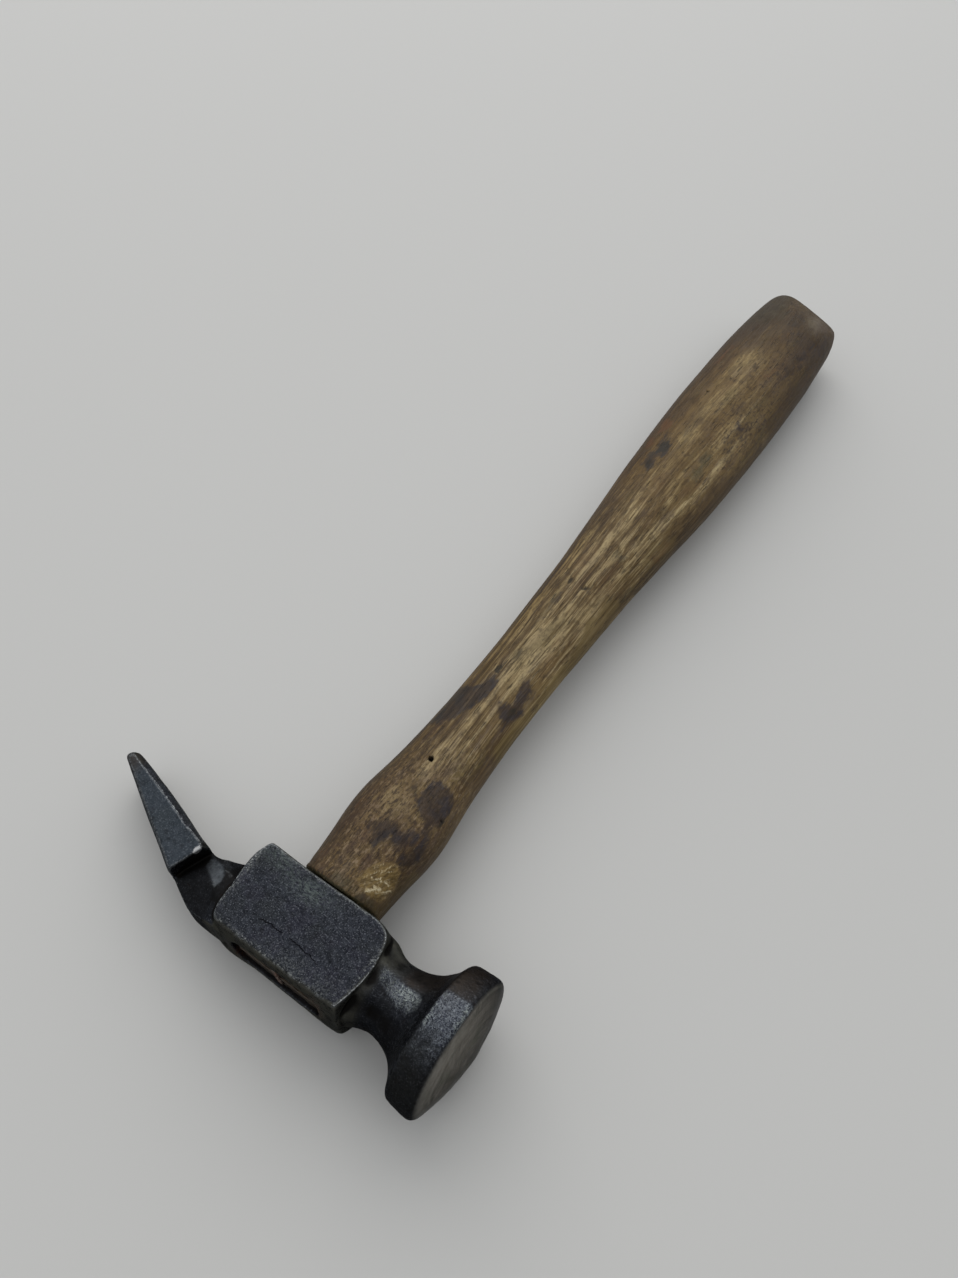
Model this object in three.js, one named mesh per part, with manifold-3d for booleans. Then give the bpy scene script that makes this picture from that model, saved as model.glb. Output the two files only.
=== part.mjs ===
// London pattern hammer: forged head with a domed round face and a bent cross peen,
// wooden haft wedged into the eye of the head.
// Millimetres. The head is drawn in its own frame first: +X towards the face, +Y along
// the haft towards the butt, +Z up through the upper cheek, origin at the eye centre.
// The whole hammer is then laid in its resting pose on the plane Z = 0.
import * as THREE from 'three';
import { mergeVertices } from 'three/addons/utils/BufferGeometryUtils.js';
import Module from 'manifold-3d';

const wasm = await Module();
wasm.setup();

// ---------- driving dimensions ----------
const FACE_R = 16.0;          // radius of the face at its front edge
const FACE_X = 39.8;          // station of the front edge of the face
const DOME_H = 3.2;           // rise of the domed face
const BELL_BACK_X = 33.3;     // station of the back edge of the bell wall
const BELL_BACK_R = 14.9;     // radius of the back edge of the bell wall
const WAIST_R = 7.8;          // half width of the face neck at its waist
const BLOCK_HALF_H = 9.5;     // eye block, half height along the haft
const BLOCK_HALF_T = 9.4;     // eye block, half thickness between the cheeks
const CHEEK_CHAMFER = 0.4;    // broken edge round each cheek
const CROWN = 0.115;          // barrel of the two narrow walls of the block
const NECK_HALF_T = 6.9;      // half thickness of the recessed peen neck
const PEEN_HALF_T = 8.3;      // half thickness of the peen at its shoulder
const PEEN_TIP_HALF_T = 7.5;  // half thickness of the peen at its tip
const PEEN_CHAMFER = 0.8;     // chamfer along the long edges of the peen
const EYE_L = 23.6;           // eye, length along the head at the wedge side
const EYE_WAIST_L = 21.4;     // eye, length along the head at the haft side
const EYE_W = 11.8;           // eye, width between the cheeks
const FIT = 0.3;              // gap left between neighbouring pieces
const HAFT_END = 250.6;       // butt end of the haft
const TONGUE_END = -9.8;      // end of the haft, nearly flush with the wedge side of the head
const BELL_SKEW = 1.7;        // degrees, the face is not quite square to the head
const BUTT_SKEW = 0.075;      // slope of the oblique butt
const HAFT_FLAT = 0.75;       // thickness of the haft as a share of its width
const KERF_TOP = 3.0;         // kerf width at the open end
const KERF_DEPTH = 15.0;      // kerf depth
const STEEL_T = 1.7;          // steel wedge, thickness at its head
const STEEL_L = 8.6;          // steel wedge, length across the eye
const STEEL_DEPTH = 8.5;      // steel wedge, depth it is driven to
const REST_ROLL = -4.8893;    // degrees about the haft, lays the peen side down
const REST_PITCH = -0.2472;   // degrees about the head, lays the butt down
const CENTRE_X = 8.984;       // moves the box centre over the origin
const CENTRE_Y = -117.324;
const LIFT_Z = 12.607;        // moves the lowest point to Z = 0

// ---------- helpers ----------
function solid(geometry) {
  const g = geometry.clone();
  g.deleteAttribute('normal');
  if (g.getAttribute('uv')) g.deleteAttribute('uv');
  const m = mergeVertices(g, 1e-4);
  return new wasm.Manifold(new wasm.Mesh({
    numProp: 3,
    vertProperties: new Float32Array(m.attributes.position.array),
    triVerts: new Uint32Array(m.index.array),
  }));
}

function toGeometry(manifold) {
  const mesh = manifold.getMesh();
  const n = mesh.numProp;
  const src = mesh.vertProperties;
  const pos = new Float32Array((src.length / n) * 3);
  for (let i = 0, j = 0; i < src.length; i += n, j += 3) {
    pos[j] = src[i]; pos[j + 1] = src[i + 1]; pos[j + 2] = src[i + 2];
  }
  const g = new THREE.BufferGeometry();
  g.setAttribute('position', new THREE.BufferAttribute(pos, 3));
  g.setIndex(new THREE.BufferAttribute(new Uint32Array(mesh.triVerts), 1));
  return g;
}

// body of revolution about X from [x, r] pairs that start and end on the axis
function turned(profile, segments, spin = 0, reshape = null) {
  const g = new THREE.LatheGeometry(profile.map(([x, r]) => new THREE.Vector2(r, x)), segments);
  g.rotateY(spin);
  g.rotateZ(-Math.PI / 2);
  return solid(reshape ? deform(g, reshape) : g);
}

function deform(g, fn) {
  const p = g.attributes.position;
  for (let i = 0; i < p.count; i++) {
    const [x, y, z] = fn(p.getX(i), p.getY(i), p.getZ(i));
    p.setXYZ(i, x, y, z);
  }
  return g;
}

function lookup(table, t) {
  if (t <= table[0][0]) return table[0][1];
  for (let i = 1; i < table.length; i++) {
    if (t <= table[i][0]) {
      const [a, b] = [table[i - 1], table[i]];
      return a[1] + (b[1] - a[1]) * (t - a[0]) / (b[0] - a[0]);
    }
  }
  return table[table.length - 1][1];
}

// plan outline in XY extruded to +-half in Z with chamfered rims
function plate(points, half, chamfer, steps = 1) {
  const shape = new THREE.Shape(points.map(([x, y]) => new THREE.Vector2(x, y)));
  const g = new THREE.ExtrudeGeometry(shape, {
    depth: 2 * (half - chamfer), steps, curveSegments: 8,
    bevelEnabled: chamfer > 0, bevelThickness: chamfer, bevelSize: chamfer,
    bevelOffset: -chamfer, bevelSegments: 1,
  });
  g.translate(0, 0, -(half - chamfer));
  return g;
}

function roundedSlot(l, w, r) {
  const s = new THREE.Shape();
  const a = l / 2, b = w / 2;
  s.moveTo(-a + r, -b);
  s.lineTo(a - r, -b); s.absarc(a - r, -b + r, r, -Math.PI / 2, 0);
  s.lineTo(a, b - r); s.absarc(a - r, b - r, r, 0, Math.PI / 2);
  s.lineTo(-a + r, b); s.absarc(-a + r, b - r, r, Math.PI / 2, Math.PI);
  s.lineTo(-a, -b + r); s.absarc(-a + r, -b + r, r, Math.PI, 1.5 * Math.PI);
  return s;
}

// slot profile (X by Z) extruded along Y from y0 to y1
function alongY(shape, y0, y1, steps = 1) {
  const g = new THREE.ExtrudeGeometry(shape, { depth: y1 - y0, steps, bevelEnabled: false, curveSegments: 6 });
  g.rotateX(-Math.PI / 2);
  g.translate(0, y0, 0);
  return g;
}

// ---------- hammer head ----------
const blockPlan = [
  [-14.6, -9.85], [-16.2, -9.35], [-17.35, -7.1], [-17.8, -3.0], [-18.2, 1.0], [-18.4, 4.5],
  [-18.3, 7.9], [-17.9, 9.2], [-16.9, 9.75], [-8.0, 9.6],
  [11.0, 9.55], [13.8, 9.2], [15.5, 8.5], [16.7, 7.25], [17.45, 5.3], [18.0, 2.4], [18.25, -0.4],
  [17.8, -4.4], [16.8, -9.5], [6.0, -9.8], [-6.0, -9.9],
];
const crown = (z) => Math.max(0, 1 - (z / BLOCK_HALF_T) ** 2);
let block = solid(deform(plate(blockPlan, BLOCK_HALF_T, CHEEK_CHAMFER, 8), (x, y, z) => [
  x, y * (1 + CROWN * crown(z)), z,
]));
const turnedEnds = turned([
  [-18.6, 0], [-18.6, 9.6], [-18.1, 11.2], [-17.3, 12.9], [-15.6, 14.6],
  [14.6, 14.6], [16.2, 13.3], [17.3, 11.9], [18.2, 10.0], [18.5, 9.2], [18.5, 0],
], 64);
block = block.intersect(turnedEnds);

const bell = turned([
  [22.5, 0], [22.5, WAIST_R - 0.5], [24.2, WAIST_R + 0.05], [25.8, 8.2], [27.5, 8.8], [29.1, 9.65], [30.4, 10.75],
  [31.4, 11.8], [32.2, 13.0], [32.8, 14.1], [BELL_BACK_X, BELL_BACK_R], [BELL_BACK_X + 0.6, 15.4],
  [36.2, 15.75], [FACE_X - 0.7, FACE_R], [FACE_X, FACE_R - 0.1], [FACE_X + 0.45, FACE_R - 0.55],
  [FACE_X + 0.38 * DOME_H, 12.9], [FACE_X + 0.64 * DOME_H, 9.8], [FACE_X + 0.84 * DOME_H, 6.5],
  [FACE_X + 0.96 * DOME_H, 3.2], [FACE_X + DOME_H, 0],
], 84, 0.021, (x, y, z) => {
  const a = THREE.MathUtils.degToRad(BELL_SKEW);
  return [36 + (x - 36) * Math.cos(a) + y * Math.sin(a), -0.2 - (x - 36) * Math.sin(a) + y * Math.cos(a), z];
});

const OCT = 1 / Math.cos(Math.PI / 8);
const faceNeck = turned([
  [12, 0], [12, 9.1 * OCT], [16, 9.1 * OCT], [18.2, 8.85 * OCT], [20, 8.4 * OCT], [21.4, 8.05 * OCT], [22.8, 7.85 * OCT], [24.2, WAIST_R * OCT],
  [25.6, 8.05 * OCT], [27.5, 9.3], [29.1, 9.95], [30.4, 10.7], [31.2, 11.3], [31.2, 0],
], 8, Math.PI / 8, (x, y, z) => [
  x, y * (1 + 0.1 * Math.min(1, Math.max(0, (20.5 - x) / 4.5))), z,
]);

const neckPlan = [
  [-15.0, -10.5], [-18.5, -10.85], [-21.5, -10.95], [-23.6, -10.85], [-25.2, -10.35], [-29.0, -8.7], [-33.4, -6.6],
  [-33.4, 2.7], [-31.0, 2.15], [-28.4, 1.75], [-26.4, 1.7], [-24.6, 2.05], [-23.0, 2.85], [-21.6, 4.1], [-20.5, 5.7],
  [-19.6, 7.2], [-15.0, 8.4],
];
let peenNeck = solid(plate(neckPlan, NECK_HALF_T, 0));
function shave(manifold, px, py, pz, yawDeg, rollDeg) {
  // removes everything outside a sloping plane through the point
  for (const s of [1, -1]) {
    const g = new THREE.BoxGeometry(80, 30, 30);
    g.translate(0, 0, 15);
    g.rotateX(THREE.MathUtils.degToRad(rollDeg));
    g.rotateZ(THREE.MathUtils.degToRad(yawDeg));
    g.translate(px, py, pz);
    if (s < 0) g.scale(1, 1, -1);
    let cut = g;
    if (s < 0) {
      const idx = cut.index.array;
      for (let i = 0; i < idx.length; i += 3) { const t = idx[i]; idx[i] = idx[i + 1]; idx[i + 1] = t; }
    }
    manifold = manifold.subtract(solid(cut));
  }
  return manifold;
}
peenNeck = shave(peenNeck, -25, -2.2, NECK_HALF_T, -27, 25);   // broad outer facet
peenNeck = shave(peenNeck, -25, 0.9, NECK_HALF_T, -12, -50);   // narrow inner facet

const peenPlan = [
  [-27.4, -9.75], [-31.6, -7.6], [-37.4, -4.72], [-44.4, -1.25], [-52.5, 2.95], [-59.1, 6.4],
  [-60.2, 7.2], [-60.6, 8.15], [-59.9, 9.2], [-58.5, 9.55],
  [-54.0, 8.62], [-47.5, 7.0], [-41.0, 5.25], [-35.4, 3.55], [-30.6, 2.1], [-26.4, 1.6], [-25.0, -9.2],
];
let peenBlade = solid(deform(plate(peenPlan, PEEN_HALF_T, PEEN_CHAMFER), (x, y, z) => {
  const t = Math.min(1, Math.max(0, (x + 30) / -30));
  return [x, y, z * (1 + t * (PEEN_TIP_HALF_T / PEEN_HALF_T - 1))];
}));

const shoulder = new THREE.BoxGeometry(12, 40, 40);
shoulder.translate(6, 0, 0);
shoulder.rotateZ(THREE.MathUtils.degToRad(-17));
shoulder.translate(-30.3, -3.2, 0);
peenBlade = peenBlade.subtract(solid(shoulder));

const eyeFlare = (x, y, z) => [
  x * (1 + (EYE_WAIST_L / EYE_L - 1) * Math.min(1, Math.max(0, (y + 10) / 20))), y, z,
];
const eyeCut = solid(deform(alongY(roundedSlot(EYE_L, EYE_W, 4.4), -14, 14, 14), eyeFlare));
let head = block.add(faceNeck).add(bell).add(peenNeck).add(peenBlade).subtract(eyeCut);

// ---------- haft ----------
const haftHalfWidth = [
  [11.0, 9.52], [11.7, 10.06], [16, 10.25], [21, 10.68], [26, 11.35], [31, 11.75], [35, 11.64], [40, 11.06], [45, 10.54],
  [50, 10.23], [56, 9.89], [65, 9.58], [76, 9.57], [87, 9.73], [97, 10.16], [107, 10.5], [118, 10.92],
  [128, 11.7], [138, 12.46], [148, 13.34], [158, 14.11], [168, 14.57], [180, 15.09], [192, 15.35],
  [202, 15.36], [212, 15.31], [222, 15.16], [232, 14.63], [240, 14.08], [245, 13.41], [248, 12.81],
  [249.5, 12.31], [250.2, 11.73], [HAFT_END, 11.02],
];
const haftShift = [
  [11, -0.19], [20, -0.14], [50, -0.13], [70, -0.14], [90, -0.04], [120, -0.02], [140, -0.07], [155, -0.01], [170, -0.11],
  [186, -0.21], [200, -0.26], [212, -0.33], [225, -0.42], [240, -0.45], [250.6, -0.88],
];
const haftFlat = [[10, 0.86], [20, 0.82], [35, HAFT_FLAT + 0.02], [70, 0.78], [130, HAFT_FLAT], [250, 0.73]];
const haftProfile = [new THREE.Vector2(0, 11.0)];
for (const [y, r] of haftHalfWidth) haftProfile.push(new THREE.Vector2(r, y));
haftProfile.push(new THREE.Vector2(0, HAFT_END));
const haftTurned = solid(deform(new THREE.LatheGeometry(haftProfile, 48), (x, y, z) => {
  const px = x + lookup(haftShift, y);
  return [px, y - BUTT_SKEW * (px + 1) * Math.min(1, Math.max(0, (y - 226) / 24)) ** 2, z * lookup(haftFlat, y)];
}));
// slanting wear on the upper corner of the butt
const wear = new THREE.BoxGeometry(60, 60, 30);
wear.translate(0, 0, 15);
wear.applyQuaternion(new THREE.Quaternion().setFromUnitVectors(
  new THREE.Vector3(0, 0, 1), new THREE.Vector3(0.324, 0.449, 0.833).normalize()));
wear.translate(3.0, 241.6, 9.4);
const haftBody = haftTurned.subtract(solid(wear));
const tongue = solid(deform(alongY(roundedSlot(EYE_L - 2 * FIT, EYE_W - 2 * FIT, 4.1), TONGUE_END, 11.4, 10), eyeFlare));

// tapered slab, open end at y0, thickness in Z (or X) shrinking towards y1
function taper(lx, lz, y0, y1, thinZ, ratio) {
  const g = new THREE.BoxGeometry(lx, y1 - y0, lz);
  g.translate(0, (y0 + y1) / 2, 0);
  return deform(g, (x, y, z) => {
    const t = (y - y0) / (y1 - y0);
    const k = 1 + (ratio - 1) * t;
    return thinZ ? [x, y, z * k] : [x * k, y, z];
  });
}
const kerf = solid(taper(EYE_L + 4, KERF_TOP, TONGUE_END - 1, TONGUE_END + KERF_DEPTH, true, 0.35));
const steelSlot = solid(taper(STEEL_T + 2 * FIT, STEEL_L + 2 * FIT, TONGUE_END - 1.2, TONGUE_END + STEEL_DEPTH + FIT, false, 0.5));
const haft = haftBody.add(tongue).subtract(kerf).subtract(steelSlot);

// ---------- wedges ----------
const woodWedge = solid(taper(EYE_L - 2 * FIT - 1.4, KERF_TOP - 2 * FIT, TONGUE_END - 0.3, TONGUE_END + KERF_DEPTH - 1.2, true, 0.28))
  .subtract(steelSlot);
const steelWedge = solid(taper(STEEL_T, STEEL_L, TONGUE_END - 0.6, TONGUE_END + STEEL_DEPTH - 0.4, false, 0.45));

// ---------- resting pose ----------
const rest = new THREE.Matrix4()
  .makeTranslation(CENTRE_X, CENTRE_Y, LIFT_Z)
  .multiply(new THREE.Matrix4().makeRotationX(THREE.MathUtils.degToRad(REST_PITCH)))
  .multiply(new THREE.Matrix4().makeRotationY(THREE.MathUtils.degToRad(REST_ROLL)));

const steelDark = new THREE.MeshStandardMaterial({ color: 0x3b3e46, roughness: 0.55, metalness: 0.85 });
const haftWood = new THREE.MeshStandardMaterial({ color: 0x6b5636, roughness: 0.6, metalness: 0.0 });
const wedgeWood = new THREE.MeshStandardMaterial({ color: 0x8a6f48, roughness: 0.75, metalness: 0.0 });
const wedgeSteel = new THREE.MeshStandardMaterial({ color: 0x4a3a32, roughness: 0.7, metalness: 0.7 });

const group = new THREE.Group();
group.name = 'london_pattern_hammer';
function addPiece(name, manifold, material) {
  const g = toGeometry(manifold);
  g.applyMatrix4(rest);
  g.computeVertexNormals();
  const mesh = new THREE.Mesh(g, material);
  mesh.name = name;
  group.add(mesh);
}
addPiece('hammer_head', head, steelDark);
addPiece('haft', haft, haftWood);
addPiece('eye_wedge_wood', woodWedge, wedgeWood);
addPiece('cross_wedge_steel', steelWedge, wedgeSteel);

export default group;
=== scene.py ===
import math

import bpy
import numpy as np
from mathutils import Matrix, Vector


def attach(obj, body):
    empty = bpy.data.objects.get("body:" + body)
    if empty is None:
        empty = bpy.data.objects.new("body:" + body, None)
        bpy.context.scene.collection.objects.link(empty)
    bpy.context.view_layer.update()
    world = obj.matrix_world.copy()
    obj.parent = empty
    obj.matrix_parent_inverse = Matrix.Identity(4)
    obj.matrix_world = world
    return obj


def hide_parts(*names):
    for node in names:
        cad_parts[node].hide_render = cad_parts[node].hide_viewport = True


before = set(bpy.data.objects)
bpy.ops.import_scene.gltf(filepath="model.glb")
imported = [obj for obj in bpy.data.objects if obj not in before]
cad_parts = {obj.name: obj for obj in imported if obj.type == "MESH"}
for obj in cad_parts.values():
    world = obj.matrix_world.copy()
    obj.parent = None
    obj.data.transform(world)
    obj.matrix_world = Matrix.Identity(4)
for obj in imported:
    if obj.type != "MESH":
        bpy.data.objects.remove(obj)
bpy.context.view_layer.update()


def rot_x(deg):
    c, s = math.cos(math.radians(deg)), math.sin(math.radians(deg))
    return np.array([[1, 0, 0], [0, c, -s], [0, s, c]])


def rot_y(deg):
    c, s = math.cos(math.radians(deg)), math.sin(math.radians(deg))
    return np.array([[c, 0, s], [0, 1, 0], [-s, 0, c]])


ROW_R = rot_x(-0.2472) @ rot_y(-4.8893)
ROW_T = np.array([8.984, -117.324, 12.607])


def to_row(p):
    return (np.asarray(p, float) @ ROW_R.T + ROW_T) / 1000.0


# ------------------------------------------------------------------ numpy helpers
def sstep(a, b, x):
    t = np.clip((x - a) / (b - a), 0, 1)
    return t * t * (3 - 2 * t)


def _hash(ix, iy, iz, seed):
    h = (ix * 374761393 + iy * 668265263 + iz * 1442695041 + seed * 974634777) & 0xFFFFFFFF
    h = ((h ^ (h >> 13)) * 1274126177) & 0xFFFFFFFF
    h = ((h ^ (h >> 15)) * 2246822519) & 0xFFFFFFFF
    return (h ^ (h >> 16)) & 0xFFFFFFFF


def vnoise(p, seed=0):
    """Smooth lattice noise in -1..1 at points p (n, 3)."""
    i = np.floor(p).astype(np.int64)
    f = p - i
    u = f * f * f * (f * (f * 6 - 15) + 10)
    out = np.zeros(len(p))
    for dx in (0, 1):
        for dy in (0, 1):
            for dz in (0, 1):
                w = ((u[:, 0] if dx else 1 - u[:, 0]) * (u[:, 1] if dy else 1 - u[:, 1])
                     * (u[:, 2] if dz else 1 - u[:, 2]))
                h = _hash(i[:, 0] + dx, i[:, 1] + dy, i[:, 2] + dz, seed)
                out += w * (h / 2147483647.5 - 1)
    return out


def fnoise(p, seed=0, octaves=3, gain=0.5):
    out, amp, tot = np.zeros(len(p)), 1.0, 0.0
    for k in range(octaves):
        out += amp * vnoise(p * 2.0 ** k + 17.3 * k, seed + k)
        tot += amp
        amp *= gain
    return out / tot


def pits(p, seed=0, keep=0.5, rmin=0.25, rmax=0.55):
    """Depth 0..1 of round pits scattered one per cell at points p (n, 3)."""
    i = np.floor(p).astype(np.int64)
    out = np.zeros(len(p))
    for dx in (-1, 0, 1):
        for dy in (-1, 0, 1):
            for dz in (-1, 0, 1):
                c = i + np.array([dx, dy, dz])
                hs = [_hash(c[:, 0], c[:, 1], c[:, 2], seed + k) / 4294967296.0 for k in range(5)]
                q = c + np.stack(hs[:3], 1)
                d = np.linalg.norm(p - q, axis=1)
                r = rmin + (rmax - rmin) * hs[3]
                out = np.maximum(out, np.where(hs[4] < keep, 1 - sstep(0.25, 1.0, d / r), 0) * (0.4 + 0.6 * hs[3]))
    return out


def poly_sdf(px, py, pts):
    """Signed distance to a closed outline, negative inside."""
    pts = np.asarray(pts, float)
    shape = np.broadcast(px, py).shape
    d = np.full(shape, 1e9)
    s = np.ones(shape)
    j = len(pts) - 1
    for i in range(len(pts)):
        e = pts[j] - pts[i]
        wx, wy = px - pts[i, 0], py - pts[i, 1]
        t = np.clip((wx * e[0] + wy * e[1]) / (e @ e), 0, 1)
        d = np.minimum(d, (wx - e[0] * t) ** 2 + (wy - e[1] * t) ** 2)
        c1, c2, c3 = py >= pts[i, 1], py < pts[j, 1], e[0] * wy > e[1] * wx
        s = np.where((c1 & c2 & c3) | (~c1 & ~c2 & ~c3), -s, s)
        j = i
    return s * np.sqrt(d)


def smooth_outline(pts, corners=(), steps=6):
    """Closed outline through pts as a spline, with kinks kept at the named corners."""
    pts = np.asarray(pts, float)
    n, out = len(pts), []
    for i in range(n):
        a, b = pts[i], pts[(i + 1) % n]
        p0, p3 = pts[i - 1], pts[(i + 2) % n]
        chord = np.linalg.norm(b - a)
        ta = (b - a) if i in corners else (b - p0) * chord / (np.linalg.norm(b - a) + np.linalg.norm(a - p0))
        tb = (b - a) if (i + 1) % n in corners else (p3 - a) * chord / (np.linalg.norm(p3 - b) + np.linalg.norm(b - a))
        for k in range(steps):
            t = k / steps
            t2, t3 = t * t, t ** 3
            out.append((2 * t3 - 3 * t2 + 1) * a + (t3 - 2 * t2 + t) * ta + (-2 * t3 + 3 * t2) * b + (t3 - t2) * tb)
    return np.array(out)


def r_and(a, b, r):
    """Intersection with the edge rounded to radius r."""
    u, v = np.maximum(r + a, 0), np.maximum(r + b, 0)
    return np.minimum(-r, np.maximum(a, b)) + np.sqrt(u * u + v * v)


def r_or(a, b, r):
    """Union with a fillet of radius r."""
    u, v = np.maximum(r - a, 0), np.maximum(r - b, 0)
    return np.maximum(r, np.minimum(a, b)) - np.sqrt(u * u + v * v)


def new_mesh(name, verts, faces, smooth=True):
    me = bpy.data.meshes.new(name)
    verts = np.asarray(verts, np.float64)
    faces = np.asarray(faces, np.int32)
    k = faces.shape[1]
    me.vertices.add(len(verts))
    me.vertices.foreach_set("co", verts.astype(np.float32).ravel())
    me.loops.add(faces.size)
    me.loops.foreach_set("vertex_index", faces.ravel())
    me.polygons.add(len(faces))
    me.polygons.foreach_set("loop_start", np.arange(0, faces.size, k, dtype=np.int32))
    me.polygons.foreach_set("loop_total", np.full(len(faces), k, np.int32))
    me.update(calc_edges=True)
    me.validate()
    if smooth:
        me.polygons.foreach_set("use_smooth", np.ones(len(me.polygons), bool))
    return me


def add_attr(me, name, values):
    a = me.attributes.new(name, "FLOAT", "POINT")
    a.data.foreach_set("value", np.asarray(values, np.float32))


def verts_of(me):
    co = np.empty(len(me.vertices) * 3, np.float32)
    me.vertices.foreach_get("co", co)
    return co.reshape(-1, 3).astype(float)


def add_object(name, me):
    ob = bpy.data.objects.new(name, me)
    bpy.context.scene.collection.objects.link(ob)
    return ob


# ------------------------------------------------------------------ head: one forged body as a distance field
CELL = 0.27
gx = np.arange(-62.4, 44.8, CELL)
gy = np.arange(-17.8, 17.8, CELL)
gz = np.arange(-17.6, 17.6, CELL)
X = gx[:, None, None].astype(np.float32)
Y = gy[None, :, None].astype(np.float32)
Z = gz[None, None, :].astype(np.float32)


def table_rows(table, t0, dt, where):
    """table (nx, nt) read at where (ny, nz) for every x."""
    f = np.clip((where - t0) / dt, 0, table.shape[1] - 1.001)
    i = np.floor(f).astype(np.int32)
    w = (f - i).astype(np.float32)
    return table[:, i] * (1 - w) + table[:, i + 1] * w


def revolve(profile):
    rr = np.arange(0, 26, 0.1)
    t = poly_sdf(gx[:, None], rr[None, :], profile).astype(np.float32)
    return table_rows(t, 0, 0.1, np.sqrt(gy[:, None] ** 2 + gz[None, :] ** 2))


def extrude(outline):
    return poly_sdf(gx[:, None], gy[None, :], outline).astype(np.float32)[:, :, None]


BLOCK = [
    (-14.2, -9.75), (-16.1, -9.3), (-17.3, -7.2), (-17.8, -3.0), (-18.2, 1.0), (-18.45, 4.5),
    (-18.35, 7.9), (-18.0, 9.3), (-16.9, 9.85), (-8, 9.6),
    (11.0, 9.55), (13.8, 9.25), (15.5, 8.55), (16.7, 7.3), (17.45, 5.3), (18.0, 2.4), (18.25, -0.4),
    (17.8, -4.4), (16.8, -9.45), (6, -9.8), (-6, -9.9),
]
block_outline = smooth_outline(BLOCK, corners=(18,), steps=5)
yy = np.arange(-22, 22, 0.1)
tb = poly_sdf(gx[:, None], yy[None, :], block_outline).astype(np.float32)
crown = 1 + 0.115 * np.clip(1 - (gz / 9.4) ** 2, 0, 1)
block = table_rows(tb, -22, 0.1, gy[:, None] / crown[None, :])
LIP = np.array([(-20.5, .2), (-19.0, .8), (-17.6, 1.0), (-13.6, .85), (-7.2, .35), (-2, .35), (2, .5), (8, .7), (13, .95), (15.5, .9), (17.5, .5), (18.6, 0)])
lip = np.interp(gx, LIP[:, 0], LIP[:, 1])[:, None, None] * sstep(0, -8, gz)[None, None, :] * sstep(-3, -8, gy)[None, :, None]
block = block - lip.astype(np.float32)
uneven = (0.10 * np.sin(gx * 0.42 + 0.6) + 0.07 * np.sin(gx * 1.05 + 2.0)).astype(np.float32)[:, None, None]
cheek_r = np.clip(0.50 + 0.16 * np.sin(X * 0.9) + 0.35 * (Y < 0), 0.3, 1.0).astype(np.float32)
block = r_and(block, np.abs(Z) - 9.4, cheek_r)
ends = [(-18.7, 0), (-18.65, 9.4), (-18.2, 11.1), (-17.3, 12.9), (-15.6, 14.8), (14.6, 14.6), (16.2, 13.3),
        (17.3, 11.9), (18.2, 10.0), (18.55, 9.0), (18.7, 0), (18.7, -2), (-18.7, -2)]
block = r_and(block, revolve(ends), np.float32(0.35))

# face neck: eight-sided, waisted
nx_ = [12, 16.0, 17.6, 18.4, 19.2, 20.4, 22.0, 23.6, 25.2, 26.8, 28.4, 29.8, 31.4, 33]
nz_ = [8.0, 8.3, 8.75, 8.55, 8.25, 8.05, 7.85, 7.8, 7.95, 8.35, 8.95, 9.8, 11.2, 12.4]
ny_ = [10.2, 10.0, 9.5, 9.1, 8.65, 8.15, 7.75, 7.6, 7.8, 8.2, 8.8, 9.6, 11.0, 12.2]
az = np.interp(gx, nx_, nz_).astype(np.float32)[:, None, None]
ay = np.interp(gx, nx_, ny_).astype(np.float32)[:, None, None]
flat_y, flat_z = np.abs(Y + 0.05) - ay, np.abs(Z) - az
diag = (np.abs(Y + 0.05) + np.abs(Z)) * 0.7071 - (ay + az) * 0.5 * 0.985
neck = r_and(r_and(flat_z, diag, np.float32(0.7)), flat_y, np.float32(1.2))
neck = np.maximum(neck, np.maximum(11.0 - X, X - 32.2))

# bell with its domed face
BELL_Y = 0.20
bell_profile = smooth_outline([
    (20.5, 0), (20.5, 6.6), (22.5, 7.35), (24.2, 7.75), (25.8, 8.1), (27.5, 8.75), (29.1, 9.6), (30.4, 10.7),
    (31.4, 11.8), (32.2, 13.0), (32.8, 14.1), (33.25, 14.95), (33.9, 15.45),
    (36.2, 15.75), (38.9, 15.90), (39.75, 15.66), (40.35, 15.02),
    (41.02, 12.9), (41.85, 9.8), (42.49, 6.5), (42.87, 3.2), (43.0, 0), (43.0, -3), (20.5, -3),
], corners=(0, 1, 21, 22, 23), steps=5)
tb_x = np.arange(14, 47, 0.1)
tbell = poly_sdf(tb_x[:, None], np.arange(0, 26, 0.1)[None, :], bell_profile).astype(np.float32)


def table_at(table, x0, dx, r0, dr, xv, rv):
    fx = np.clip((xv - x0) / dx, 0, table.shape[0] - 1.001)
    fr = np.clip((rv - r0) / dr, 0, table.shape[1] - 1.001)
    i, j = fx.astype(np.int32), fr.astype(np.int32)
    u, v = (fx - i).astype(np.float32), (fr - j).astype(np.float32)
    return ((table[i, j] * (1 - u) + table[i + 1, j] * u) * (1 - v)
            + (table[i, j + 1] * (1 - u) + table[i + 1, j + 1] * u) * v)


SKEW = math.radians(1.7)
i_b = int(np.searchsorted(gx, 16.0))
xb, yb, zb = X[i_b:] - 36.0, Y + BELL_Y, Z
x_b = xb * math.cos(SKEW) - yb * math.sin(SKEW) + 36.0
y_b = xb * math.sin(SKEW) + yb * math.cos(SKEW)
bell = np.full(block.shape, 30.0, np.float32)
bell[i_b:] = table_at(tbell, 14, 0.1, 0, 0.1, x_b + 0 * zb, np.sqrt(y_b * y_b + zb * zb))
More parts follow.
